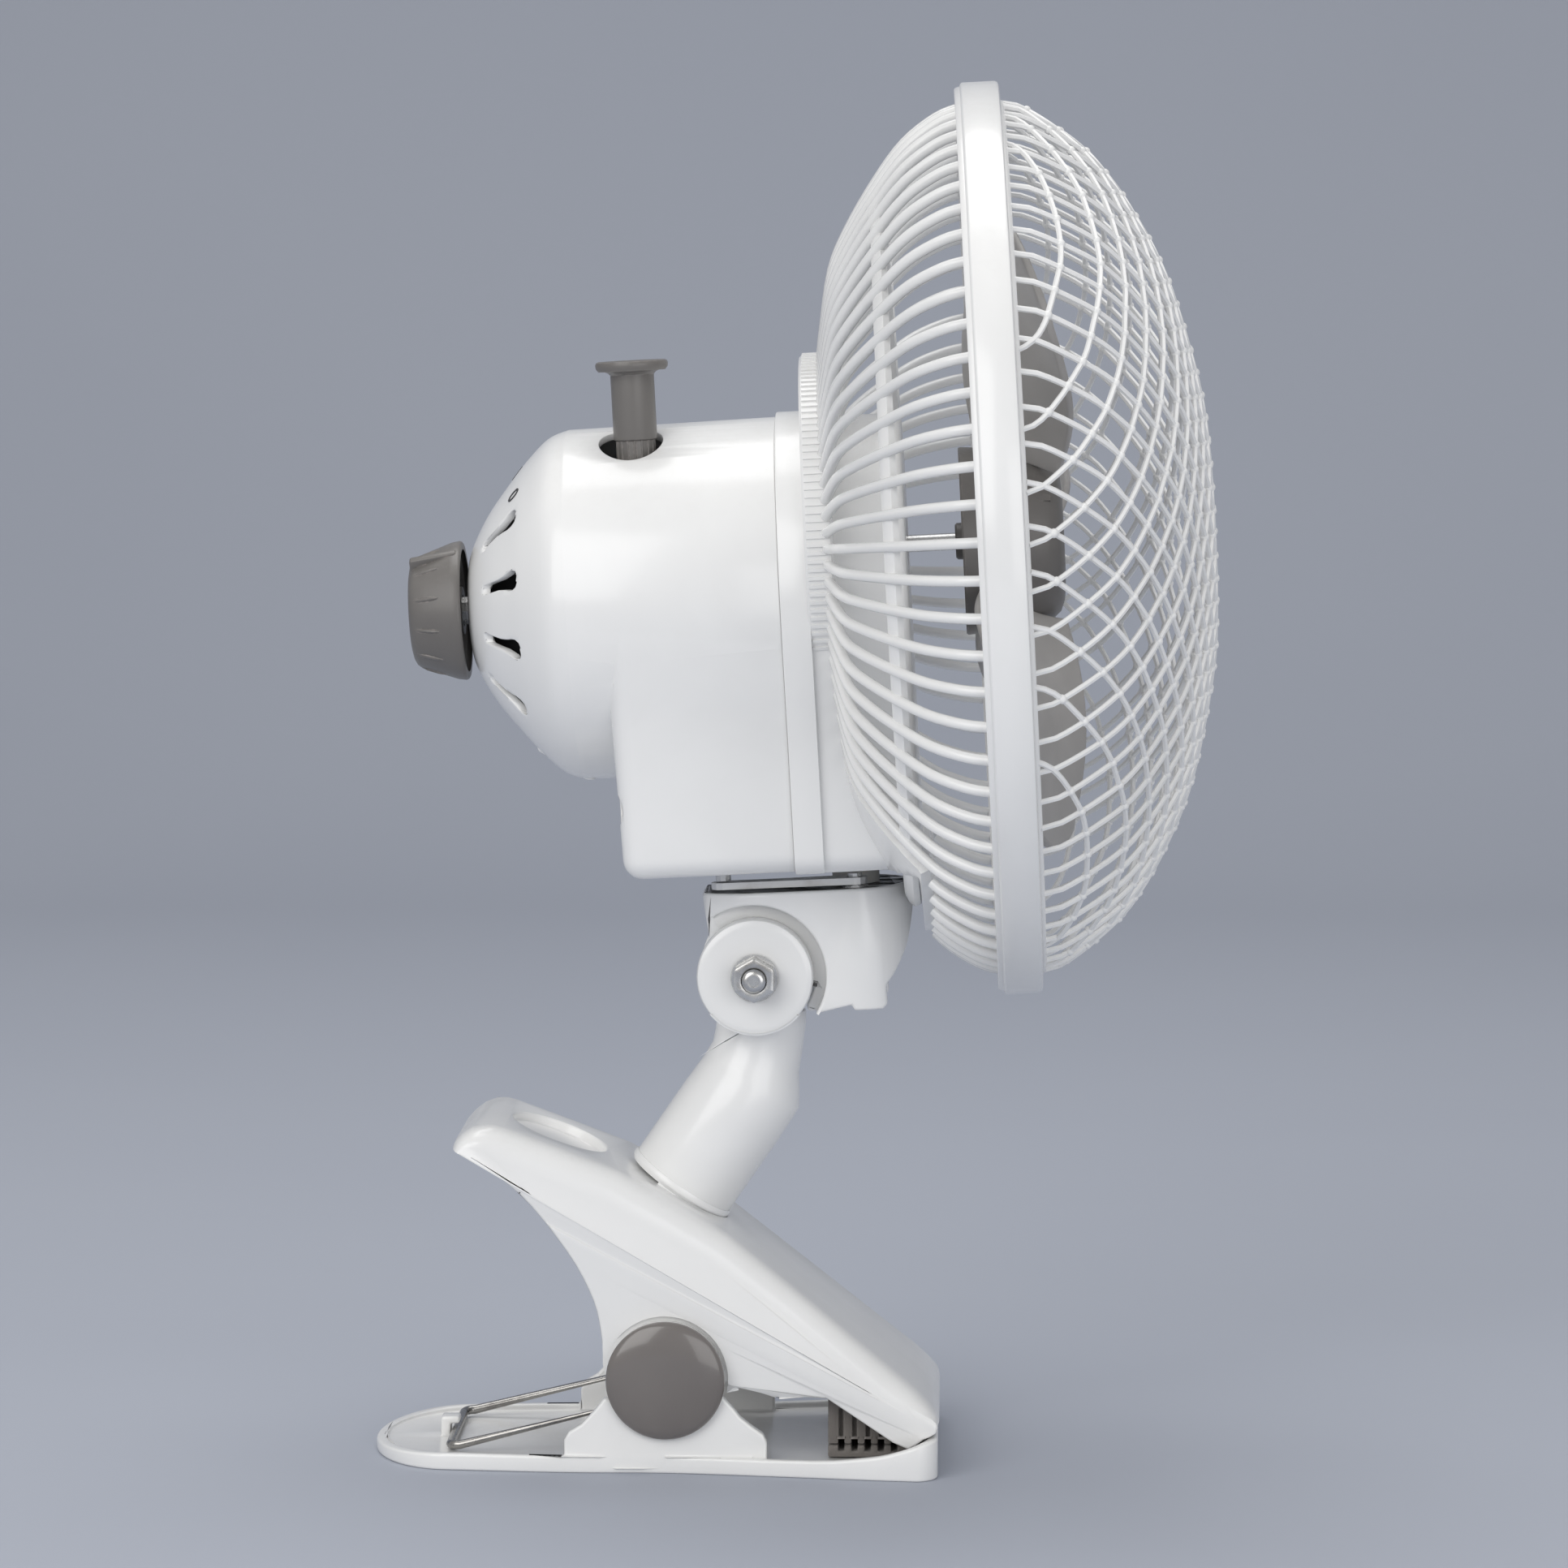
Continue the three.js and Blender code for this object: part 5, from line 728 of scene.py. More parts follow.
def springPoints(facts):
    total = int((facts["turns"] + facts["lead"]) * facts["stepsPerTurn"])
    inner = facts["half"] - facts["turns"] * facts["pitch"]
    halfWire = []
    for i in range(total + 1):
        angle = -pi / 2 - i / facts["stepsPerTurn"] * 2 * pi
        halfWire.append((facts["coil"] * cos(angle), facts["half"] - (facts["half"] - inner) * i / total,
                         facts["hingeHeight"] + facts["coil"] * sin(angle)))
    last, end = Vector(halfWire[-1]), Vector((facts["top"][0], inner, facts["top"][1]))
    halfWire += [tuple(last.lerp(end, i / 8)) for i in range(1, 9)]
    height = facts["floor"] + facts["wire"] / 2
    bend = 2.2
    corner = [(facts["tailX"] + bend - bend * sin(a), facts["half"] - bend + bend * cos(a),
               height + 0.3 * cos(a))
              for a in (radians(d) for d in range(0, 91, 15))]
    far = list(reversed(halfWire)) + corner
    near = [(x, -y, z) for x, y, z in reversed(far)]
    return far + near


def makeClipSpring(facts):
    curve = roundCurve("wire", facts["wire"] / 2, 3)
    addStrand(curve, springPoints(facts))
    piece = makePiece(curveMesh(curve), "clipSpring", "clip_base", nickelWire, clipPlace,
                      ["clip_spring"], sharp=60)
    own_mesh(piece)


makeClipSpring(springFacts)
print("clip: pads, caps, spring")

# arm: a bent tube from a round foot to a fork of two discs
armFacts = {
    "foot": (2, 0, 56.2), "aim": (10.8, 0, 15.7), "footRadius": 11.6, "tilt": (18.1, 101.9),
    "discRadius": 12.1, "outer": 16, "inner": 10, "tongueRoom": 8.8, "boltHole": 2.8,
    "stages": [((12.8, 71.9), 11.6, (0.567, 0.824)), ((17, 78.05), 11.4, (0.495, 0.869)),
               ((17.3, 80.55), 10.5, (0.386, 0.923)), ((17.85, 83.3), 9.63, (0.3425, 0.939)),
               ((18.65, 88.25), 9.33, (0.134, 0.991)), ((18.95, 91.25), 9.45, (0.06, 0.998)),
               ((18.9, 93.3), 9.5, (0, 1))]}


def makeArm(facts):
    foot, aim = Vector(facts["foot"]), Vector(facts["aim"]).normalized()
    rings = [(foot - aim * 0.9, aim, facts["footRadius"], facts["footRadius"])]
    rings += [((x, 0, z), (u, 0, w), radius, radius) for (x, z), radius, (u, w) in facts["stages"]]
    x, z = facts["tilt"]
    outer, inner, wide = facts["outer"], facts["inner"], facts["discRadius"]
    disc = [(inner, 0), (inner, wide), (15, wide), (15.62, 11.8), (15.9, 11.2), (outer, 10.4), (outer, 0)]
    discs = [spun([(s * y, r) for y, r in disc], 96, "y", (x, 0, z)) for s in (-1, 1)]
    saddle = arcPoints(x, z, facts["discRadius"] - 0.05, -140, -40, 16) + [(x + 3, z - 8.7), (x - 3, z - 8.7)]
    spigot = slantRod(foot - aim * 5, foot + aim * 2, 7.6)
    bm = carved(lofted(rings, 72), joins=[spigot, pushed(saddle, -outer + 0.4, outer - 0.4, "y"), *discs],
                cuts=[rod("y", facts["tongueRoom"], -inner, inner, (x, 0, z)),
                      rod("y", facts["boltHole"], -20, 20, (x, 0, z)),
                      slantRod(foot - aim * 6, foot + aim * 14, 6.2)])
    softened(bm, 0.35, 2, 48)
    makePiece(bm, "arm", "clip_lever", whitePlastic, clipPlace, ["arm"])
    collar = [(-0.85, 11.62), (-0.85, 11.85), (-0.4, 12), (0.2, 11.95), (0.6, 11.75), (0.6, 11.62)]
    ring = spun(collar, 96, "x", closed=True)
    turn = Vector((1, 0, 0)).rotation_difference(aim).to_matrix().to_4x4()
    ring.transform(Matrix.Translation(foot + aim * 0.6) @ turn)
    makePiece(ring, "armCollar", "clip_lever", whitePlastic, clipPlace)


makeArm(armFacts)

# tilt joint: bolt, nut and washers
tiltFacts = {"centre": (18.1, 0, 101.9), "bolt": 2.45, "across": 8, "washer": 4.95, "face": 16.3,
             "thick": 0.9, "nutHeight": 4, "headHeight": 3.4}


def hexOutline(facts, across):
    return arcPoints(facts["centre"][0], facts["centre"][2], across / sqrt(3), 30, 330, 5)


def chamferedHex(facts, across, low, high):
    # a hexagon whose corners are turned off at both faces
    wide, chamfer = across / sqrt(3), (high - low) * 0.06
    profile = [(low, 0), (low, wide - 0.15), (low + chamfer, wide + 0.02), (high - chamfer, wide + 0.02),
               (high, wide - 0.15), (high, 0)]
    return carved(pushed(hexOutline(facts, across), low, high, "y"),
                  keeps=[spun(profile, 72, "y", facts["centre"])])


def makeTiltFixings(facts):
    centre, face = facts["centre"], facts["face"] + facts["thick"] + 0.3
    nut = carved(chamferedHex(facts, facts["across"], -face - facts["nutHeight"], -face),
                 cuts=[rod("y", facts["bolt"] + 0.15, -40, 0, centre)])
    makePiece(softened(nut, 0.12, 2, 25), "tiltNut", "clip_lever", platedSteel, clipPlace,
              ["tilt_nut"])
    thread = []
    for i in range(9):
        y = -face - facts["nutHeight"] - 1 + i * 0.55
        thread += [(y, facts["bolt"] - 0.22), (y + 0.27, facts["bolt"])]
    end = -face - facts["nutHeight"] - 1.35
    shank = [(end, 0), (end, facts["bolt"] - 0.75), (end + 0.35, facts["bolt"] - 0.22)] + thread
    shank += [(face, facts["bolt"]), (face + 0.5, facts["bolt"]), (face + 0.5, 0)]
    bolt = carved(spun(shank, 64, "y", centre), cuts=[rod("y", 1.25, end - 1, end + 0.7, centre, 32)])
    head = chamferedHex(facts, facts["across"], face, face + facts["headHeight"])
    makePiece(together(bolt, head), "tiltBolt", "clip_lever", platedSteel, clipPlace, ["tilt_bolt"])
    for side, label, node in ((-1, "tiltWasherNear", "tilt_washer_near"),
                              (1, "tiltWasherFar", "tilt_washer_far")):
        low, high, inner = facts["face"], facts["face"] + facts["thick"], facts["bolt"] + 0.3
        ring = [(low, inner), (low, facts["washer"] - 0.15), (low + 0.2, facts["washer"]),
                (high - 0.2, facts["washer"]), (high, facts["washer"] - 0.15), (high, inner)]
        bm = spun([(side * y, r) for y, r in ring], 96, "y", centre, closed=True)
        makePiece(bm, label, "clip_lever", platedSteel, clipPlace, [node])


makeTiltFixings(tiltFacts)
print("arm and tilt joint")

# neck bracket, about the tilt axis
bracketFacts = {"rim": 17.3, "floor": 10.6, "rear": -10.3, "half": 15, "wall": 1.9, "tongue": 8.5,
                "tongueHalf": 9.7, "pocket": 14.8, "cheek": 1.8, "disc": 12.4, "postX": 21.7,
                "boltHole": 2.8, "edge": 0.6}


def cupPlan(facts, inset):
    front = [(facts["postX"] + (11.8 - inset) * cos(a), (facts["half"] - inset) * sin(a))
             for a in (radians(d) for d in range(-90, 91, 6))]
    rear, back = facts["half"] - 5 - inset, facts["rear"] + inset
    side = smoothLine([(facts["postX"] - 8, facts["half"] - inset), (0, facts["half"] - inset - 0.8),
                       (-5.4, rear + 1.9), (-9.2, rear - 0.6), (back, rear - 3.4)], 4)
    return front + side + [(x, -y) for x, y in reversed(side)]


def makeBracket(facts):
    side = [(facts["rear"] - 0.2, 18), (-10.3, 16.9), (-10.1, 14.1), (-9.3, 8.8), (-8.2, 2.2)]
    side += arcPoints(0, 0, facts["tongue"], 165, 320, 24)
    side += [(11.2, -8.5), (19.9, -6.8), (20.2, -8), (26.2, -8.1), (27.2, -7.3), (27.1, -3.2)]
    side += smoothLine([(27.1, -3.2), (29.3, -0.4), (31.7, 4.5), (33.1, 10.7), (33.5, 15.4), (33.5, 18)],
                       4)[1:]
    plan = pushed(cupPlan(facts, 0), -20, facts["rim"])
    half = facts["tongueHalf"]
    roomTop = arcPoints(0, 0, facts["tongue"] + 0.6, -100, -12, 12)
    cheek = half - facts["cheek"]
    slot = pushed(roomTop + [(40, -4), (40, -30), (-2, -30)], -cheek, cheek, "y")
    discRoom = roomTop + arcPoints(0, 0, facts["disc"], -12, -33, 6) + [(10.4, -30), (-2, -30)]
    beside = [pushed(discRoom, *sorted((s * (cheek - 0.1), s * (half + 0.15))), "y") for s in (-1, 1)]
    pockets = [rod("y", facts["pocket"], *sorted((s * half, s * 20)), steps=96) for s in (-1, 1)]
    wall = facts["wall"]
    pocketWalls = [rod("y", facts["pocket"] + wall, *sorted((s * (half - wall), s * 20)), steps=96)
                   for s in (-1, 1)]
    cup = carved(pushed(cupPlan(facts, facts["wall"]), facts["floor"], 30), cuts=pocketWalls)
    bm = carved(plan, keeps=[pushed(side, -20, 20, "y")])
    bm = carved(bm, joins=[rod("y", facts["tongue"], -half, half)], cuts=[
        cup, *pockets, slot, *beside, rod("y", facts["boltHole"], -20, 20),
        rod("z", 1.8, -20, 20, (facts["postX"], 0, 0)), rod("z", 2.9, -20, 7.5, (facts["postX"], 0, 0))])
    softened(bm, facts["edge"], 3, 40)
    makePiece(bm, "neckBracket", "neck", whitePlastic, neckPlace, ["neck_bracket"])


makeBracket(bracketFacts)

# pan post, about the fan axis
postFacts = {"x": 21.7, "foot": -76.6, "radius": 4.95, "shoulder": -51, "topRadius": 3.4, "top": -47.2,
             "screwHole": 1.8}


def makePost(facts):
    foot, wide = facts["foot"], facts["radius"]
    profile = [(foot, facts["screwHole"]), (foot, wide + 1.4), (foot + 2.1, wide + 1.4),
               (foot + 2.4, wide + 1.1), (foot + 2.4, wide + 0.4), (foot + 2.8, wide),
               (facts["shoulder"], wide), (facts["shoulder"], facts["topRadius"]),
               (facts["top"], facts["topRadius"]), (facts["top"], facts["screwHole"])]
    bm = spun(profile, 80, "z", (facts["x"], 0, 0), closed=True)
    makePiece(bm, "panPost", "neck", nylonPlastic, headPlace, ["pan_post"])


makePost(postFacts)
print("neck")

# rear cover: a drum that ends in a dome, on a box
coverFacts = {
    "radius": 36.5, "seamRadius": 37.0, "drop": -9.2, "seam": 9.95, "wall": 2.2, "boxRear": -26.2,
    "rearWall": 0.9, "lean": 1, "leanTop": -20, "bottom": -64.8, "plunger": (-19.7, -14),
    "plungerHole": 6.6, "spindleHole": 3.6, "crank": (-4.5, -3, 9), "gland": (-38.5, 4.2),
    "vents": [15, 45, -15, -45, 135, 165, 195, 225], "screws": [(26.2, -50), (-26.2, -50)], "edge": 0.7}
domeLine = smoothLine([(-33.3, 36.5), (-37.6, 34.9), (-42.3, 30.5), (-46.2, 25.9), (-50.4, 20.5),
                       (-53.4, 15.5), (-55.2, 11.4), (-55.9, 7.5)], 5)


def shellSection(facts, inset, bottom):
    radius = facts["radius"] - inset
    half = arcPoints(0, facts["drop"], radius, 90, 0, 36)
    half += smoothLine([(radius, facts["drop"]), (radius - 0.3, -16), (radius - 1.7, -24),
                        (radius - 3.5, -33), (radius - 4.9, -44), (radius - 6, bottom + 8)], 4)[1:]
    half += arcPoints(radius - 6.3 - 4.5, bottom + 4.5 + inset, 4.5, -3, -88, 8)
    return half + [(-y, z) for y, z in reversed(half[1:])]


def ventOutline(degrees):
    # a radial slot with a narrow waist and a round outer end
    halves = [(18.4, 0.6), (18.8, 0.95), (21, 1), (23.4, 1.05), (25, 1.4), (26.2, 1.9), (27.4, 2),
              (28.3, 1.6), (28.7, 0.8)]
    outline = [(r, h) for r, h in halves] + [(r, -h) for r, h in reversed(halves)]
    angle = radians(degrees)
    return [(r * cos(angle) - h * sin(angle), r * sin(angle) + h * cos(angle) + coverFacts["drop"])
            for r, h in outline]


def leaned(bm, facts):
    # the box's rear face leans forward as it goes down
    for vert in bm.verts:
        below = facts["leanTop"] - vert.co.z
        if vert.co.x < facts["boxRear"] + 5 and below > 0:
            vert.co.x += facts["lean"] * below / (facts["leanTop"] - facts["bottom"])
    return bm


def makeRearCover(facts):
    drop = (0, 0, facts["drop"])
    outer = [(facts["seam"], 0), (facts["seam"], facts["seamRadius"])] + domeLine + [(-56, 0)]
    inner = [(20, 0), (20, facts["seamRadius"] - facts["wall"])]
    inner += [(x + 1, max(r - 1.3, 0)) for x, r in domeLine] + [(-54.6, 0)]
    shellBox = pushed(shellSection(facts, 0, facts["bottom"]), facts["boxRear"], facts["seam"], "x")
    leaned(softened(shellBox, 4, 6, 60, lambda p: p.x < facts["boxRear"] + 0.1), facts)
    glandX = facts["gland"][0]
    padSide = [(-43.2, -28), (-43.2, -38.9), (-33.2, -45.6), (-31.2, -45.6), (-31.2, -28)]
    glandPad = softened(pushed(padSide, -6.5, 6.5, "y"), 0.8, 3, 30)
    shell = carved(spun(outer, 128, "x", drop), joins=[shellBox, glandPad])
    insideBox = pushed(shellSection(facts, facts["wall"], facts["bottom"]),
                       facts["boxRear"] + facts["rearWall"], 20, "x")
    leaned(insideBox, facts)
    inside = carved(spun(inner, 96, "x", drop), joins=[insideBox])
    x, y = facts["plunger"]
    cuts = [inside, rod("x", facts["spindleHole"], -70, -40, drop),
            rod("z", facts["plungerHole"], 8, 45, (x, y, 0), 72),
            rod("z", facts["crank"][2], -80, -56, (facts["crank"][0], facts["crank"][1], 0)),
            rod("z", facts["gland"][1], -60, -30, (glandX, 0, 0))]
    cuts += [pushed(ventOutline(a), -60, -38, "x") for a in facts["vents"]]
    cuts += [rod("x", 3.3, -60, -22, (0, sy, sz), 48) for sy, sz in facts["screws"]]
    bm = carved(shell, cuts=cuts)
    softened(bm, 0.3, 2, 46)
    makePiece(bm, "rearCover", "head", whitePlastic, headPlace, ["rear_cover"], sharp=30)


makeRearCover(coverFacts)

# cord inlet: a grommet closed by a web
glandFacts = {"x": -38.5, "top": -32, "lip": 5.4, "body": 3.9, "end": -39.4, "endRadius": 3.5, "bore": 2.2}


def makeGland(facts):
    top, end, lip = facts["top"], facts["end"], facts["lip"]
    profile = [(top, 0), (top, lip - 0.4), (top - 0.4, lip), (top - 1, lip), (top - 1.4, lip - 0.4),
               (top - 1.4, facts["body"]), (end + 0.4, facts["endRadius"]), (end, facts["endRadius"] - 0.4),
               (end, facts["bore"] + 0.3), (end + 0.3, facts["bore"]), (top - 2, facts["bore"]), (top - 2, 0)]
    makePiece(spun(profile, 48, "z", (facts["x"], 0, 0)), "cordGland", "head", gripRubber,
              headPlace, ["cord_gland"])


makeGland(glandFacts)

# plain numbers printed round the dome, by which the knob is set
markFacts = {"size": 5.2, "thick": 0.12, "x": -44.6, "first": 59, "step": 30, "labels": "012"}


def domeAt(distance):
    # a point of the dome's line so far from its front end, (along, radius)
    left = distance
    for (x0, r0), (x1, r1) in zip(domeLine, domeLine[1:]):
        length = hypot(x1 - x0, r1 - r0)
        if left <= length:
            return x0 + (x1 - x0) * left / length, r0 + (r1 - r0) * left / length
        left -= length
    return domeLine[-1]


def makeMarks(facts):
    middle = next(i * 0.1 for i in range(600) if domeAt(i * 0.1)[0] < facts["x"])
    parts = []
    for i, label in enumerate(facts["labels"]):
        letter = bpy.data.curves.new("mark", "FONT")
        letter.body = label
        letter.size = facts["size"]
        letter.align_x = "CENTER"
        letter.align_y = "CENTER"
        letter.extrude = 0.5
        letter.resolution_u = 6
        bm = curveMesh(letter)
        turn = radians(facts["first"] + facts["step"] * i)
        for vert in bm.verts:
            x, radius = domeAt(middle - vert.co.y)
            lift = facts["thick"] if vert.co.z > 0 else -0.25
            angle = turn + vert.co.x / radius
            reach = radius + lift
            vert.co = (x - lift * 0.7, -reach * cos(angle), reach * sin(angle) + coverFacts["drop"])
        parts.append(cleaned(bm))
    makePiece(together(*parts), "dialMarks", "head", markInk, headPlace)


makeMarks(markFacts)

# knob: a ribbed cup with a rounded pointer
knobFacts = {"rim": -56.9, "face": -68.2, "ridges": 12, "pointer": 30, "bore": 3.3}


def makeKnob(facts):
    rim, face = facts["rim"], facts["face"]
    outer = [(rim, 12.8), (rim, 14.1), (rim - 0.2, 14.4), (rim - 0.6, 14.55), (rim - 2.2, 14.3),
             (face + 4, 12.5), (face + 1.7, 11.7), (face + 0.8, 11), (face + 0.3, 10.1), (face + 0.05, 9),
             (face, 7.6), (face, 0)]
    inner = [(face + 2.2, 0), (face + 2.2, 8.6), (rim - 1, 12.3)]
    sleeve = [(face + 1, facts["bore"]), (face + 1, 5), (rim - 0.5, 5), (rim - 0.5, facts["bore"])]
    parts = [spun(outer + inner, 120, "x"), spun(sleeve, 48, "x", closed=True)]
    slope = [((rim - 4.6, 0, 13.35), 0.2), ((-63, 0, 12.8), 0.42), ((face + 2.8, 0, 11.9), 0.45),
             ((face + 1.5, 0, 11.2), 0.3)]
    for i in range(facts["ridges"]):
        rings = [(Vector(p), (-9, 0, -2.2), size, size * 1.1) for p, size in slope]
        parts.append(rolled(lofted(rings, 10), 2 * pi * (i + 0.5) / facts["ridges"]))
    pointer = softened(box(face + 0.6, rim - 0.8, -0.9, 0.9, 10.2, 13.2), 0.5, 3, 30)
    for vert in pointer.verts:
        if vert.co.z > 11:
            vert.co.z += (vert.co.x - face) * 0.16
    parts.append(rolled(pointer, radians(facts["pointer"])))
    bm = together(*parts)
    bm.transform(Matrix.Translation((0, 0, coverFacts["drop"])))
    makePiece(bm, "speedKnob", "speed_knob", greyPlastic, headPlace, ["switch_knob"])


makeKnob(knobFacts)

# plunger that switches the oscillation
plungerFacts = {"x": -18.7, "y": -14, "top": 41.2, "flange": 7.5, "stem": 4.5, "step": 25, "foot": 15,
                "footRadius": 3.9, "flutes": 16, "rodHole": 1.4}


def makePlunger(facts):
    top, flange, stem = facts["top"], facts["flange"], facts["stem"]
    profile = [(facts["foot"] + 8, 0), (facts["foot"] + 8, facts["rodHole"]),
               (facts["foot"], facts["rodHole"]), (facts["foot"], facts["footRadius"] - 0.3),
               (facts["foot"] + 0.3, facts["footRadius"]), (facts["step"] - 0.3, facts["footRadius"]),
               (facts["step"], stem - 0.1), (facts["step"] + 0.3, stem), (top - 2.9, stem),
               (top - 2.4, stem + 0.5), (top - 2.1, stem + 1.3), (top - 2.1, flange - 0.6),
               (top - 1.5, flange - 0.1), (top - 0.7, flange), (top - 0.2, flange - 0.2),
               (top, flange - 0.7), (top, flange - 1.2), (top - 0.4, flange - 1.8), (top - 0.6, flange - 3),
               (top - 0.6, 0)]
    parts = [spun(profile, 80, "z", (facts["x"], facts["y"], 0))]
    for i in range(facts["flutes"]):
        angle = 2 * pi * i / facts["flutes"]
        x, y = facts["x"] + 3.82 * cos(angle), facts["y"] + 3.82 * sin(angle)
        parts.append(rod("z", 0.28, facts["foot"] + 0.6, facts["step"] - 0.2, (x, y, 0), 10))
    makePiece(together(*parts), "oscillationPlunger", "oscillation_knob", greyPlastic,
              headPlace, ["plunger"])


makePlunger(plungerFacts)
print("rear cover, knob, plunger")

# rear grille with the front half of the housing
grilleFacts = {
    "ribs": 76, "ribWidth": 2.2, "ribDepth": 2.3, "ribSink": 1.1, "hoop": (33, 75.1), "webHalf": 37.5,
    "webWall": 35.4, "floor": -65.3, "seam": 10, "bandEnd": 16, "front": 36, "flange": 40.4,
    "flangeRear": 15.5, "flangeFront": 21.4, "rim": 90.8, "joint": 54.6, "postX": 21.7, "wall": 2.2,
    "smoothHalf": 48}
cageLine = smoothLine([(18.8, 38.2), (20.1, 46.4), (22.4, 58.1), (26.2, 66.3), (32.5, 76), (38.8, 83.7),
                       (45.8, 88.7), (51.2, 90.6)], 4)


def cageRib(line, facts, turn):
    rings = []
    for i, (x, radius) in enumerate(line):
        ahead, behind = line[min(i + 1, len(line) - 1)], line[max(i - 1, 0)]
        direction = Vector((ahead[0] - behind[0], 0, ahead[1] - behind[1])).normalized()
        inward = Vector((direction.z, 0, -direction.x)) * facts["ribSink"]
        rings.append((Vector((x, 0, radius)) + inward, direction, facts["ribWidth"] / 2,
                      facts["ribDepth"] / 2))
    return rolled(lofted(rings, 10), turn)


def makeCage(facts):
    parts = []
    for i in range(facts["ribs"]):
        turn = 360 * (i + 0.5) / facts["ribs"]
        fromDown = abs(turn - 180)
        line = cageLine
        if fromDown < facts["webHalf"]:
            line = [p for p in cageLine if p[0] > facts["webWall"] + 0.4]
        parts.append(cageRib(line, facts, radians(turn)))
    hoopX, hoopR = facts["hoop"]
    hoop = [(hoopX - 1, hoopR - 2), (hoopX - 0.2, hoopR - 0.4), (hoopX + 1, hoopR + 0.6),
            (hoopX + 2.2, hoopR), (hoopX + 1.8, hoopR - 2), (hoopX + 0.4, hoopR - 2.6)]
    parts.append(spun(hoop, 152, "x", closed=True))
    rim, joint = facts["rim"], facts["joint"]
    parts.append(spun([(50.3, rim - 2.6), (50.3, rim), (joint - 2.4, rim), (joint - 2.4, rim + 1.5),
                       (joint, rim + 1.5), (joint, rim - 2.6)], 152, "x", closed=True))
    flange = [(facts["flangeRear"], 20), (facts["flangeRear"], 39.9), (facts["flangeRear"] + 0.5, 40.4),
              (facts["flangeFront"] - 0.5, 40.4), (facts["flangeFront"], 39.9), (facts["flangeFront"], 20)]
    parts.append(spun(flange, 152, "x", closed=True))
    for i in range(facts["ribs"] * 2):
        turn = pi * (i + 0.5) / facts["ribs"]
        if abs(turn - pi) > radians(facts["smoothHalf"]):
            ridge = box(facts["flangeRear"] + 0.6, facts["flangeFront"] - 0.4, -0.35, 0.35, 40.1, 40.75)
            parts.append(rolled(ridge, turn))
    return together(*parts)


def webPanel(facts):
    # the closed part of the cage under the drum: its floor lies flat and its front edge steps down
    begin = 180 - facts["webHalf"]
    wall = facts["webWall"]
    line = [p for p in cageLine if p[0] < wall - 0.8] + [(wall - 0.1, 79.6), (wall + 0.4, 80.7)]
    bm = spun(line, 60, "x", turn=2 * facts["webHalf"], begin=begin)
    for vert in bm.verts:
        if vert.co.x < wall + 0.1 and vert.co.z < facts["floor"]:
            vert.co.z = facts["floor"]
    bmesh.ops.recalc_face_normals(bm, faces=bm.faces)
    if sum(f.normal.z for f in bm.faces) > 0:
        bmesh.ops.reverse_faces(bm, faces=bm.faces)
    bmesh.ops.solidify(bm, geom=bm.faces, thickness=facts["wall"])
    return cleaned(bm)


def makeRearGrille(facts):
    section = {"drop": coverFacts["drop"]}
    band = pushed(shellSection({**section, "radius": 38}, 0, facts["floor"]), facts["seam"],
                  facts["bandEnd"], "x")
    drum = pushed(shellSection({**section, "radius": 36.6}, 0, facts["floor"]), facts["bandEnd"] - 2,
                  facts["front"], "x")
    softened(drum, 1.6, 4, 60, lambda p: p.x > facts["front"] - 0.1)
    softened(band, 0.35, 2, 60, lambda p: p.x < facts["seam"] + 0.1)
    boss = rod("z", 8.2, facts["floor"] + 0.5, -47.5, (facts["postX"], 0, 0))
    hollow = pushed(shellSection({**section, "radius": 36.6}, facts["wall"], facts["floor"]), 0,
                    facts["front"] - 2.2, "x")
    drum = carved(drum, joins=[band], cuts=[hollow, rod("x", 5.5, 0, 60)])
    drum = carved(drum, joins=[boss], cuts=[rod("z", 5.3, -70, -50.7, (facts["postX"], 0, 0)),
                                            rod("z", 3.75, -60, -40, (facts["postX"], 0, 0))])
    parts = [drum, webPanel(facts)]
    for y, z in coverFacts["screws"]:
        tube = [(facts["seam"] + 0.2, 1.9), (facts["seam"] + 0.2, 3.2), (22, 3.2), (22, 1.9)]
        parts.append(spun(tube, 32, "x", (0, y, z), closed=True))
    makePiece(together(makeCage(facts), *parts), "rearGrille", "head", whitePlastic,
              headPlace, ["rear_grille"])


makeRearGrille(grilleFacts)

# guard ring
ringFacts = {"rear": 50.3, "front": 59.5, "radius": 94.7, "lip": 91.1, "wall": 2.1}


def makeGuardRing(facts):
    rear, front, radius, lip = facts["rear"], facts["front"], facts["radius"], facts["lip"]
    profile = [(rear, lip), (rear, radius - 1.3), (rear + 0.3, radius - 1), (rear + 1.1, radius - 0.8),
               (rear + 1.35, radius - 0.2), (rear + 1.7, radius), (front - 0.8, radius),
               (front - 0.25, radius - 0.25), (front, radius - 0.8), (front, lip), (front - 1.5, lip),
               (front - 1.5, radius - facts["wall"]), (rear + 1.5, radius - facts["wall"]),
               (rear + 1.5, lip)]
    makePiece(spun(profile, 192, "x", closed=True), "guardRing", "head", whitePlastic,
              headPlace, ["guard_ring"])


makeGuardRing(ringFacts)
print("rear grille and ring")

# front guard: a square net of strands, set on its corner, drawn over a dome
netFacts = {"pitch": 6.6, "strand": 0.6, "knot": 0.98, "reach": 90.75, "step": 2.0, "wander": 0.34,
            "seed": 7, "rim": 90.8, "joint": 54.9}
netLine = smoothLine([(0, 100.1), (15.3, 100), (27.2, 99.3), (40.8, 96.5), (53.5, 92.9), (63.8, 88.3),
                      (74.2, 82.1), (81.6, 75.7), (89.3, 65.2), (90.8, 59.5)], 5)


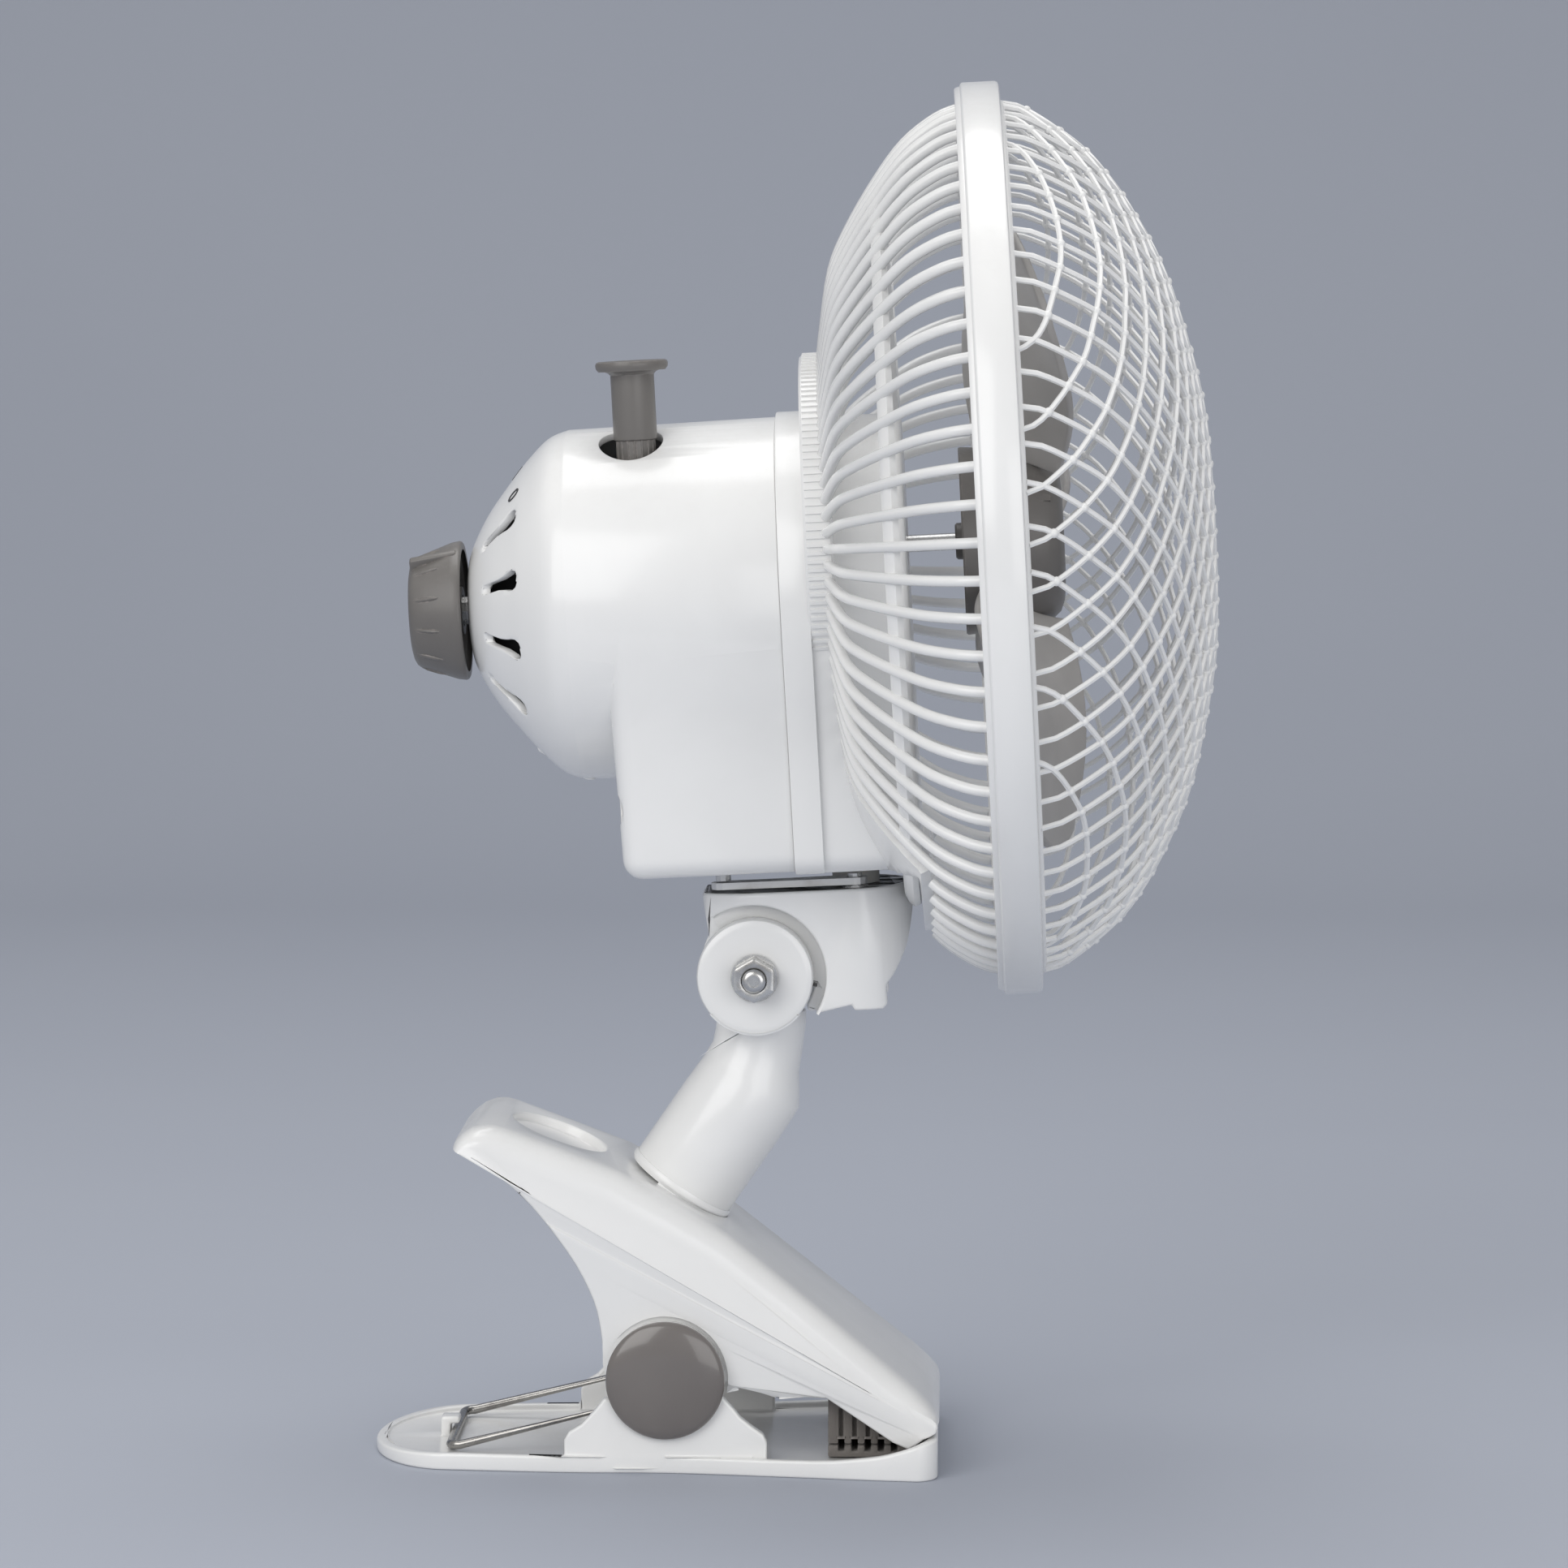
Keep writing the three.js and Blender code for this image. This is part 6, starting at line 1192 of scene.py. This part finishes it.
def netHeight(radius):
    for (r0, x0), (r1, x1) in zip(netLine, netLine[1:]):
        if radius <= r1:
            return x0 + (x1 - x0) * (radius - r0) / max(r1 - r0, 1e-6)
    return netLine[-1][1]


def netPoint(facts, u, v):
    # u and v run along the two sets of strands, seen from the front
    y, z = (u - v) * sqrt(0.5), (u + v) * sqrt(0.5)
    stray = noise.noise_vector(Vector((y * 0.11, z * 0.11, 3.7))) * facts["wander"]
    y, z = y + stray.x, z + stray.y
    radius = hypot(y, z)
    if radius > facts["reach"]:
        y, z, radius = y * facts["reach"] / radius, z * facts["reach"] / radius, facts["reach"]
    shrink = 1 - 0.005 * (radius / 90) ** 4
    return Vector((netHeight(radius) - facts["knot"] - 0.1, y * shrink, z * shrink))


def makeFrontGuard(facts):
    # with a seed, the strands stray the same way in every run
    noise.seed_set(facts["seed"])
    curve = roundCurve("net", facts["strand"], 1)
    count = int(facts["reach"] / facts["pitch"])
    for k in range(-count, count + 1):
        offset = k * facts["pitch"]
        half = sqrt(facts["reach"] ** 2 - offset ** 2)
        steps = max(int(2 * half / facts["step"]), 4)
        # the points lie a little closer together toward the ends
        stations = [-half * cos(pi * i / steps) * 0.35 + (-half + 2 * half * i / steps) * 0.65
                    for i in range(steps + 1)]
        addStrand(curve, [netPoint(facts, along, offset) for along in stations])
        addStrand(curve, [netPoint(facts, offset, along) for along in stations])
    bm = curveMesh(curve)
    knots = bmesh.new()
    for a in range(-count, count + 1):
        for b in range(-count, count + 1):
            if hypot(a, b) * facts["pitch"] < facts["reach"] - 1:
                place = netPoint(facts, a * facts["pitch"], b * facts["pitch"])
                bmesh.ops.create_icosphere(knots, subdivisions=2, radius=facts["knot"],
                                           matrix=Matrix.Translation(place))
    rim, joint = facts["rim"], facts["joint"]
    profile = [(joint, rim - 2.6), (joint, rim + 1.5), (joint + 2.4, rim + 1.5), (joint + 2.4, rim),
               (59.6, rim), (60.1, rim - 0.2), (60.4, rim - 0.7), (60.4, rim - 1.6), (60, rim - 2.6)]
    band = spun(profile, 152, "x", closed=True)
    makePiece(together(bm, knots, band), "frontGuard", "head", netPlastic, headPlace,
              ["front_guard"], sharp=50)


makeFrontGuard(netFacts)
print("front guard")

# impeller: a hub cup with three broad cambered blades
impellerFacts = {"rear": 47.4, "front": 68.5, "hub": 19.6, "tip": 71.5, "blades": 3, "middleX": 60.4,
                 "halfDepth": 10.6, "halfAngle": 27, "first": 71, "thick": 1.6}


def bladeSheet(facts, index):
    bm = bmesh.new()
    bmesh.ops.create_grid(bm, x_segments=28, y_segments=18, size=1)
    middle = radians(facts["first"] + 360 / facts["blades"] * index)
    root = facts["hub"] - 1.6
    for vert in bm.verts:
        across, out = vert.co.x, (vert.co.y + 1) / 2
        tip = facts["tip"] - 9 * abs(across) ** 3
        radius = root + (tip - root) * out
        spread = radians(facts["halfAngle"]) * (0.92 + 0.16 * sin(pi * out))
        angle = middle - across * spread
        depth = facts["halfDepth"] * (0.62 + 0.38 * sin(pi * min(out * 0.9 + 0.12, 1)))
        x = facts["middleX"] + across * depth - 2.2 * (1 - across * across)
        vert.co = (x - facts["thick"] / 2, -radius * cos(angle), radius * sin(angle))
    bmesh.ops.recalc_face_normals(bm, faces=bm.faces)
    if sum(f.normal.x for f in bm.faces) < 0:
        bmesh.ops.reverse_faces(bm, faces=bm.faces)
    bmesh.ops.solidify(bm, geom=bm.faces, thickness=-facts["thick"])
    return softened(cleaned(bm), 0.55, 3, 60)


def makeImpeller(facts):
    rear, front, hub = facts["rear"], facts["front"], facts["hub"]
    shell = [(rear, hub - 2), (rear, hub - 0.3), (rear + 0.4, hub), (front - 6, hub - 1.5),
             (front - 3, hub - 2.4), (front - 1.2, hub - 4), (front - 0.3, hub - 6.4), (front, hub - 9.5),
             (front, 2.6), (front - 0.8, 0), (front - 2.4, 0), (front - 2.4, hub - 9),
             (front - 4, hub - 5.2), (front - 8, hub - 3.6)]
    parts = [spun(shell, 96, "x", closed=True)]
    sleeve = [(rear - 1.4, 2.1), (rear - 1.4, 3.4), (rear - 1, 3.8), (front - 3, 4.6), (front - 3, 2.1)]
    parts.append(spun(sleeve, 48, "x", closed=True))
    for i in range(6):
        parts.append(rolled(box(rear + 1.5, front - 2.6, -0.7, 0.7, 4, hub - 2), pi / 3 * i))
    makePiece(together(*parts), "impellerHub", "fan_rotor", greyPlastic, headPlace,
              ["impeller"])
    blades = [bladeSheet(facts, i) for i in range(facts["blades"])]
    makePiece(together(*blades), "impellerBlades", "fan_rotor", bladePlastic, headPlace,
              ["impeller"])


makeImpeller(impellerFacts)

# shaft with a turned end and a flat
shaftFacts = {"rear": -24.4, "front": 62, "radius": 1.8}


def makeShaft(facts):
    rear, front, radius = facts["rear"], facts["front"], facts["radius"]
    profile = [(rear, 0), (rear, radius - 0.4), (rear + 0.4, radius), (front - 0.4, radius),
               (front, radius - 0.4), (front, 0)]
    bm = carved(spun(profile, 48, "x"), cuts=[box(front - 12, front + 1, -3, 3, 1.35, 4)])
    makePiece(bm, "motorShaft", "fan_rotor", platedSteel, headPlace, ["motor_shaft"])


makeShaft(shaftFacts)
print("impeller and shaft")

# solids that keep their shape get their own finishes
nodeFinishes = {
    "hinge_pin": platedSteel, "arm_screw_1": platedSteel, "arm_screw_2": platedSteel,
    "post_screw": platedSteel, "pan_retainer": platedSteel, "retainer_screw": platedSteel,
    # the link bar takes the lighter steel copy, painted light for its place in shade
    "link_pin": platedSteel, "oscillation_link": satinSteelPaintedLight, "stator_core": coreSteel, "rotor": coreSteel,
    "coil_1": woundCopper, "coil_2": woundCopper, "coil_3": woundCopper, "coil_4": woundCopper,
    "front_plate": castAlloy, "gear_housing": castAlloy, "front_bearing": bearingBronze,
    "rear_bearing": bearingBronze, "drive_worm": bearingBronze, "worm_wheel": nylonPlastic,
    "clutch_sleeve": platedSteel, "clutch_pinion": nylonPlastic, "crank_gear": nylonPlastic,
    "crank": platedSteel, "clutch_rod": platedSteel, "rotary_switch": darkPlastic,
    "switch_spindle": platedSteel, "cord_gland": gripRubber, "motor_screw_1": platedSteel,
    "motor_screw_2": platedSteel, "cover_screw_1": platedSteel, "cover_screw_2": platedSteel}
for name, material in nodeFinishes.items():
    for materialSlot in frame["nodes"][name].material_slots:
        materialSlot.link = "OBJECT"
        materialSlot.material = material

# floor, light and camera
stageFacts = {"floor": "AEB3BE", "reach": 3.2, "wall": 1.6, "height": 2.6, "bend": 0.6}


def makeStage(facts):
    bm = bmesh.new()
    reach = facts["reach"]
    corners = ((-reach, -reach, 0), (reach, -reach, 0), (reach, facts["wall"], 0), (-reach, facts["wall"], 0))
    floor = bm.faces.new([bm.verts.new(p) for p in corners])
    back = [e for e in floor.edges if all(v.co.y > 0 for v in e.verts)]
    made = bmesh.ops.extrude_edge_only(bm, edges=back)["geom"]
    bmesh.ops.translate(bm, vec=(0, 0, facts["height"]),
                        verts=[v for v in made if isinstance(v, bmesh.types.BMVert)])
    bmesh.ops.bevel(bm, geom=back, offset=facts["bend"], segments=24, profile=0.5, affect="EDGES",
                    material=-1)
    mesh = bpy.data.meshes.new("sweep")
    bm.to_mesh(mesh)
    bm.free()
    mesh.shade_smooth()
    sweep = bpy.data.objects.new("sweep", mesh)
    shownObjects.link(sweep)
    material, tree, shader = newMaterial("sweepPaper", {"Roughness": 0.85})
    skin = filledGroup(tree, mouldSkin, {"Colour": paint(facts["floor"]), "Shade": paint("A9AEBA"),
                                         "Shading": 0.4, "FlowScale": 2, "GrainScale": 500,
                                         "Roughness": 0.85, "RoughnessSpread": 0.05})
    tree.links.new(skin.outputs["Colour"], shader.inputs["Base Color"])
    mesh.materials.append(material)


def addLamp(name, place, aim, size, power, colour):
    light = bpy.data.lights.new(name, "AREA")
    light.shape = "RECTANGLE"
    light.size, light.size_y = size
    light.energy = power
    light.color = colour
    lamp = bpy.data.objects.new(name, light)
    lamp.location = place
    lamp.rotation_mode = "QUATERNION"
    lamp.rotation_quaternion = (Vector(aim) - Vector(place)).to_track_quat("-Z", "Y")
    shownObjects.link(lamp)


makeStage(stageFacts)
addLamp("softKey", (-0.7, -1.2, 0.85), (0.02, 0, 0.15), (1.1, 1.2), 10.5, (1, 0.99, 0.97))
addLamp("softFill", (0.75, -1.15, 0.24), (0.03, 0, 0.13), (1.0, 1.0), 5.5, (1, 0.995, 0.99))
addLamp("softTop", (0.05, 0.25, 1.35), (0.03, 0, 0.15), (1.0, 0.8), 6.5, (1, 1, 1))
world = bpy.data.worlds.new("studio")
bpy.context.scene.world = world
world.use_nodes = True
background = world.node_tree.nodes["Background"]
background.inputs["Color"].default_value = paint("F1F1F2")
background.inputs["Strength"].default_value = 0.53

cameraFacts = {"aim": (0.0237, 0, 0.1408), "distance": 1.1608, "azimuth": 1.7, "elevation": 5.2,
               "lens": 127.23}


def addCamera(facts):
    azimuth, elevation = radians(facts["azimuth"]), radians(facts["elevation"])
    back = Vector((sin(azimuth) * cos(elevation), -cos(azimuth) * cos(elevation), sin(elevation)))
    data = bpy.data.cameras.new("view")
    data.lens = facts["lens"]
    data.sensor_width = 36
    data.clip_start = 0.02
    camera = bpy.data.objects.new("view", data)
    camera.location = Vector(facts["aim"]) + back * facts["distance"]
    camera.rotation_mode = "QUATERNION"
    camera.rotation_quaternion = (-back).to_track_quat("-Z", "Y")
    shownObjects.link(camera)
    bpy.context.scene.camera = camera


addCamera(cameraFacts)
bpy.context.scene.view_settings.view_transform = "Standard"
bpy.context.view_layer.update()
print("stage, lamps and camera")
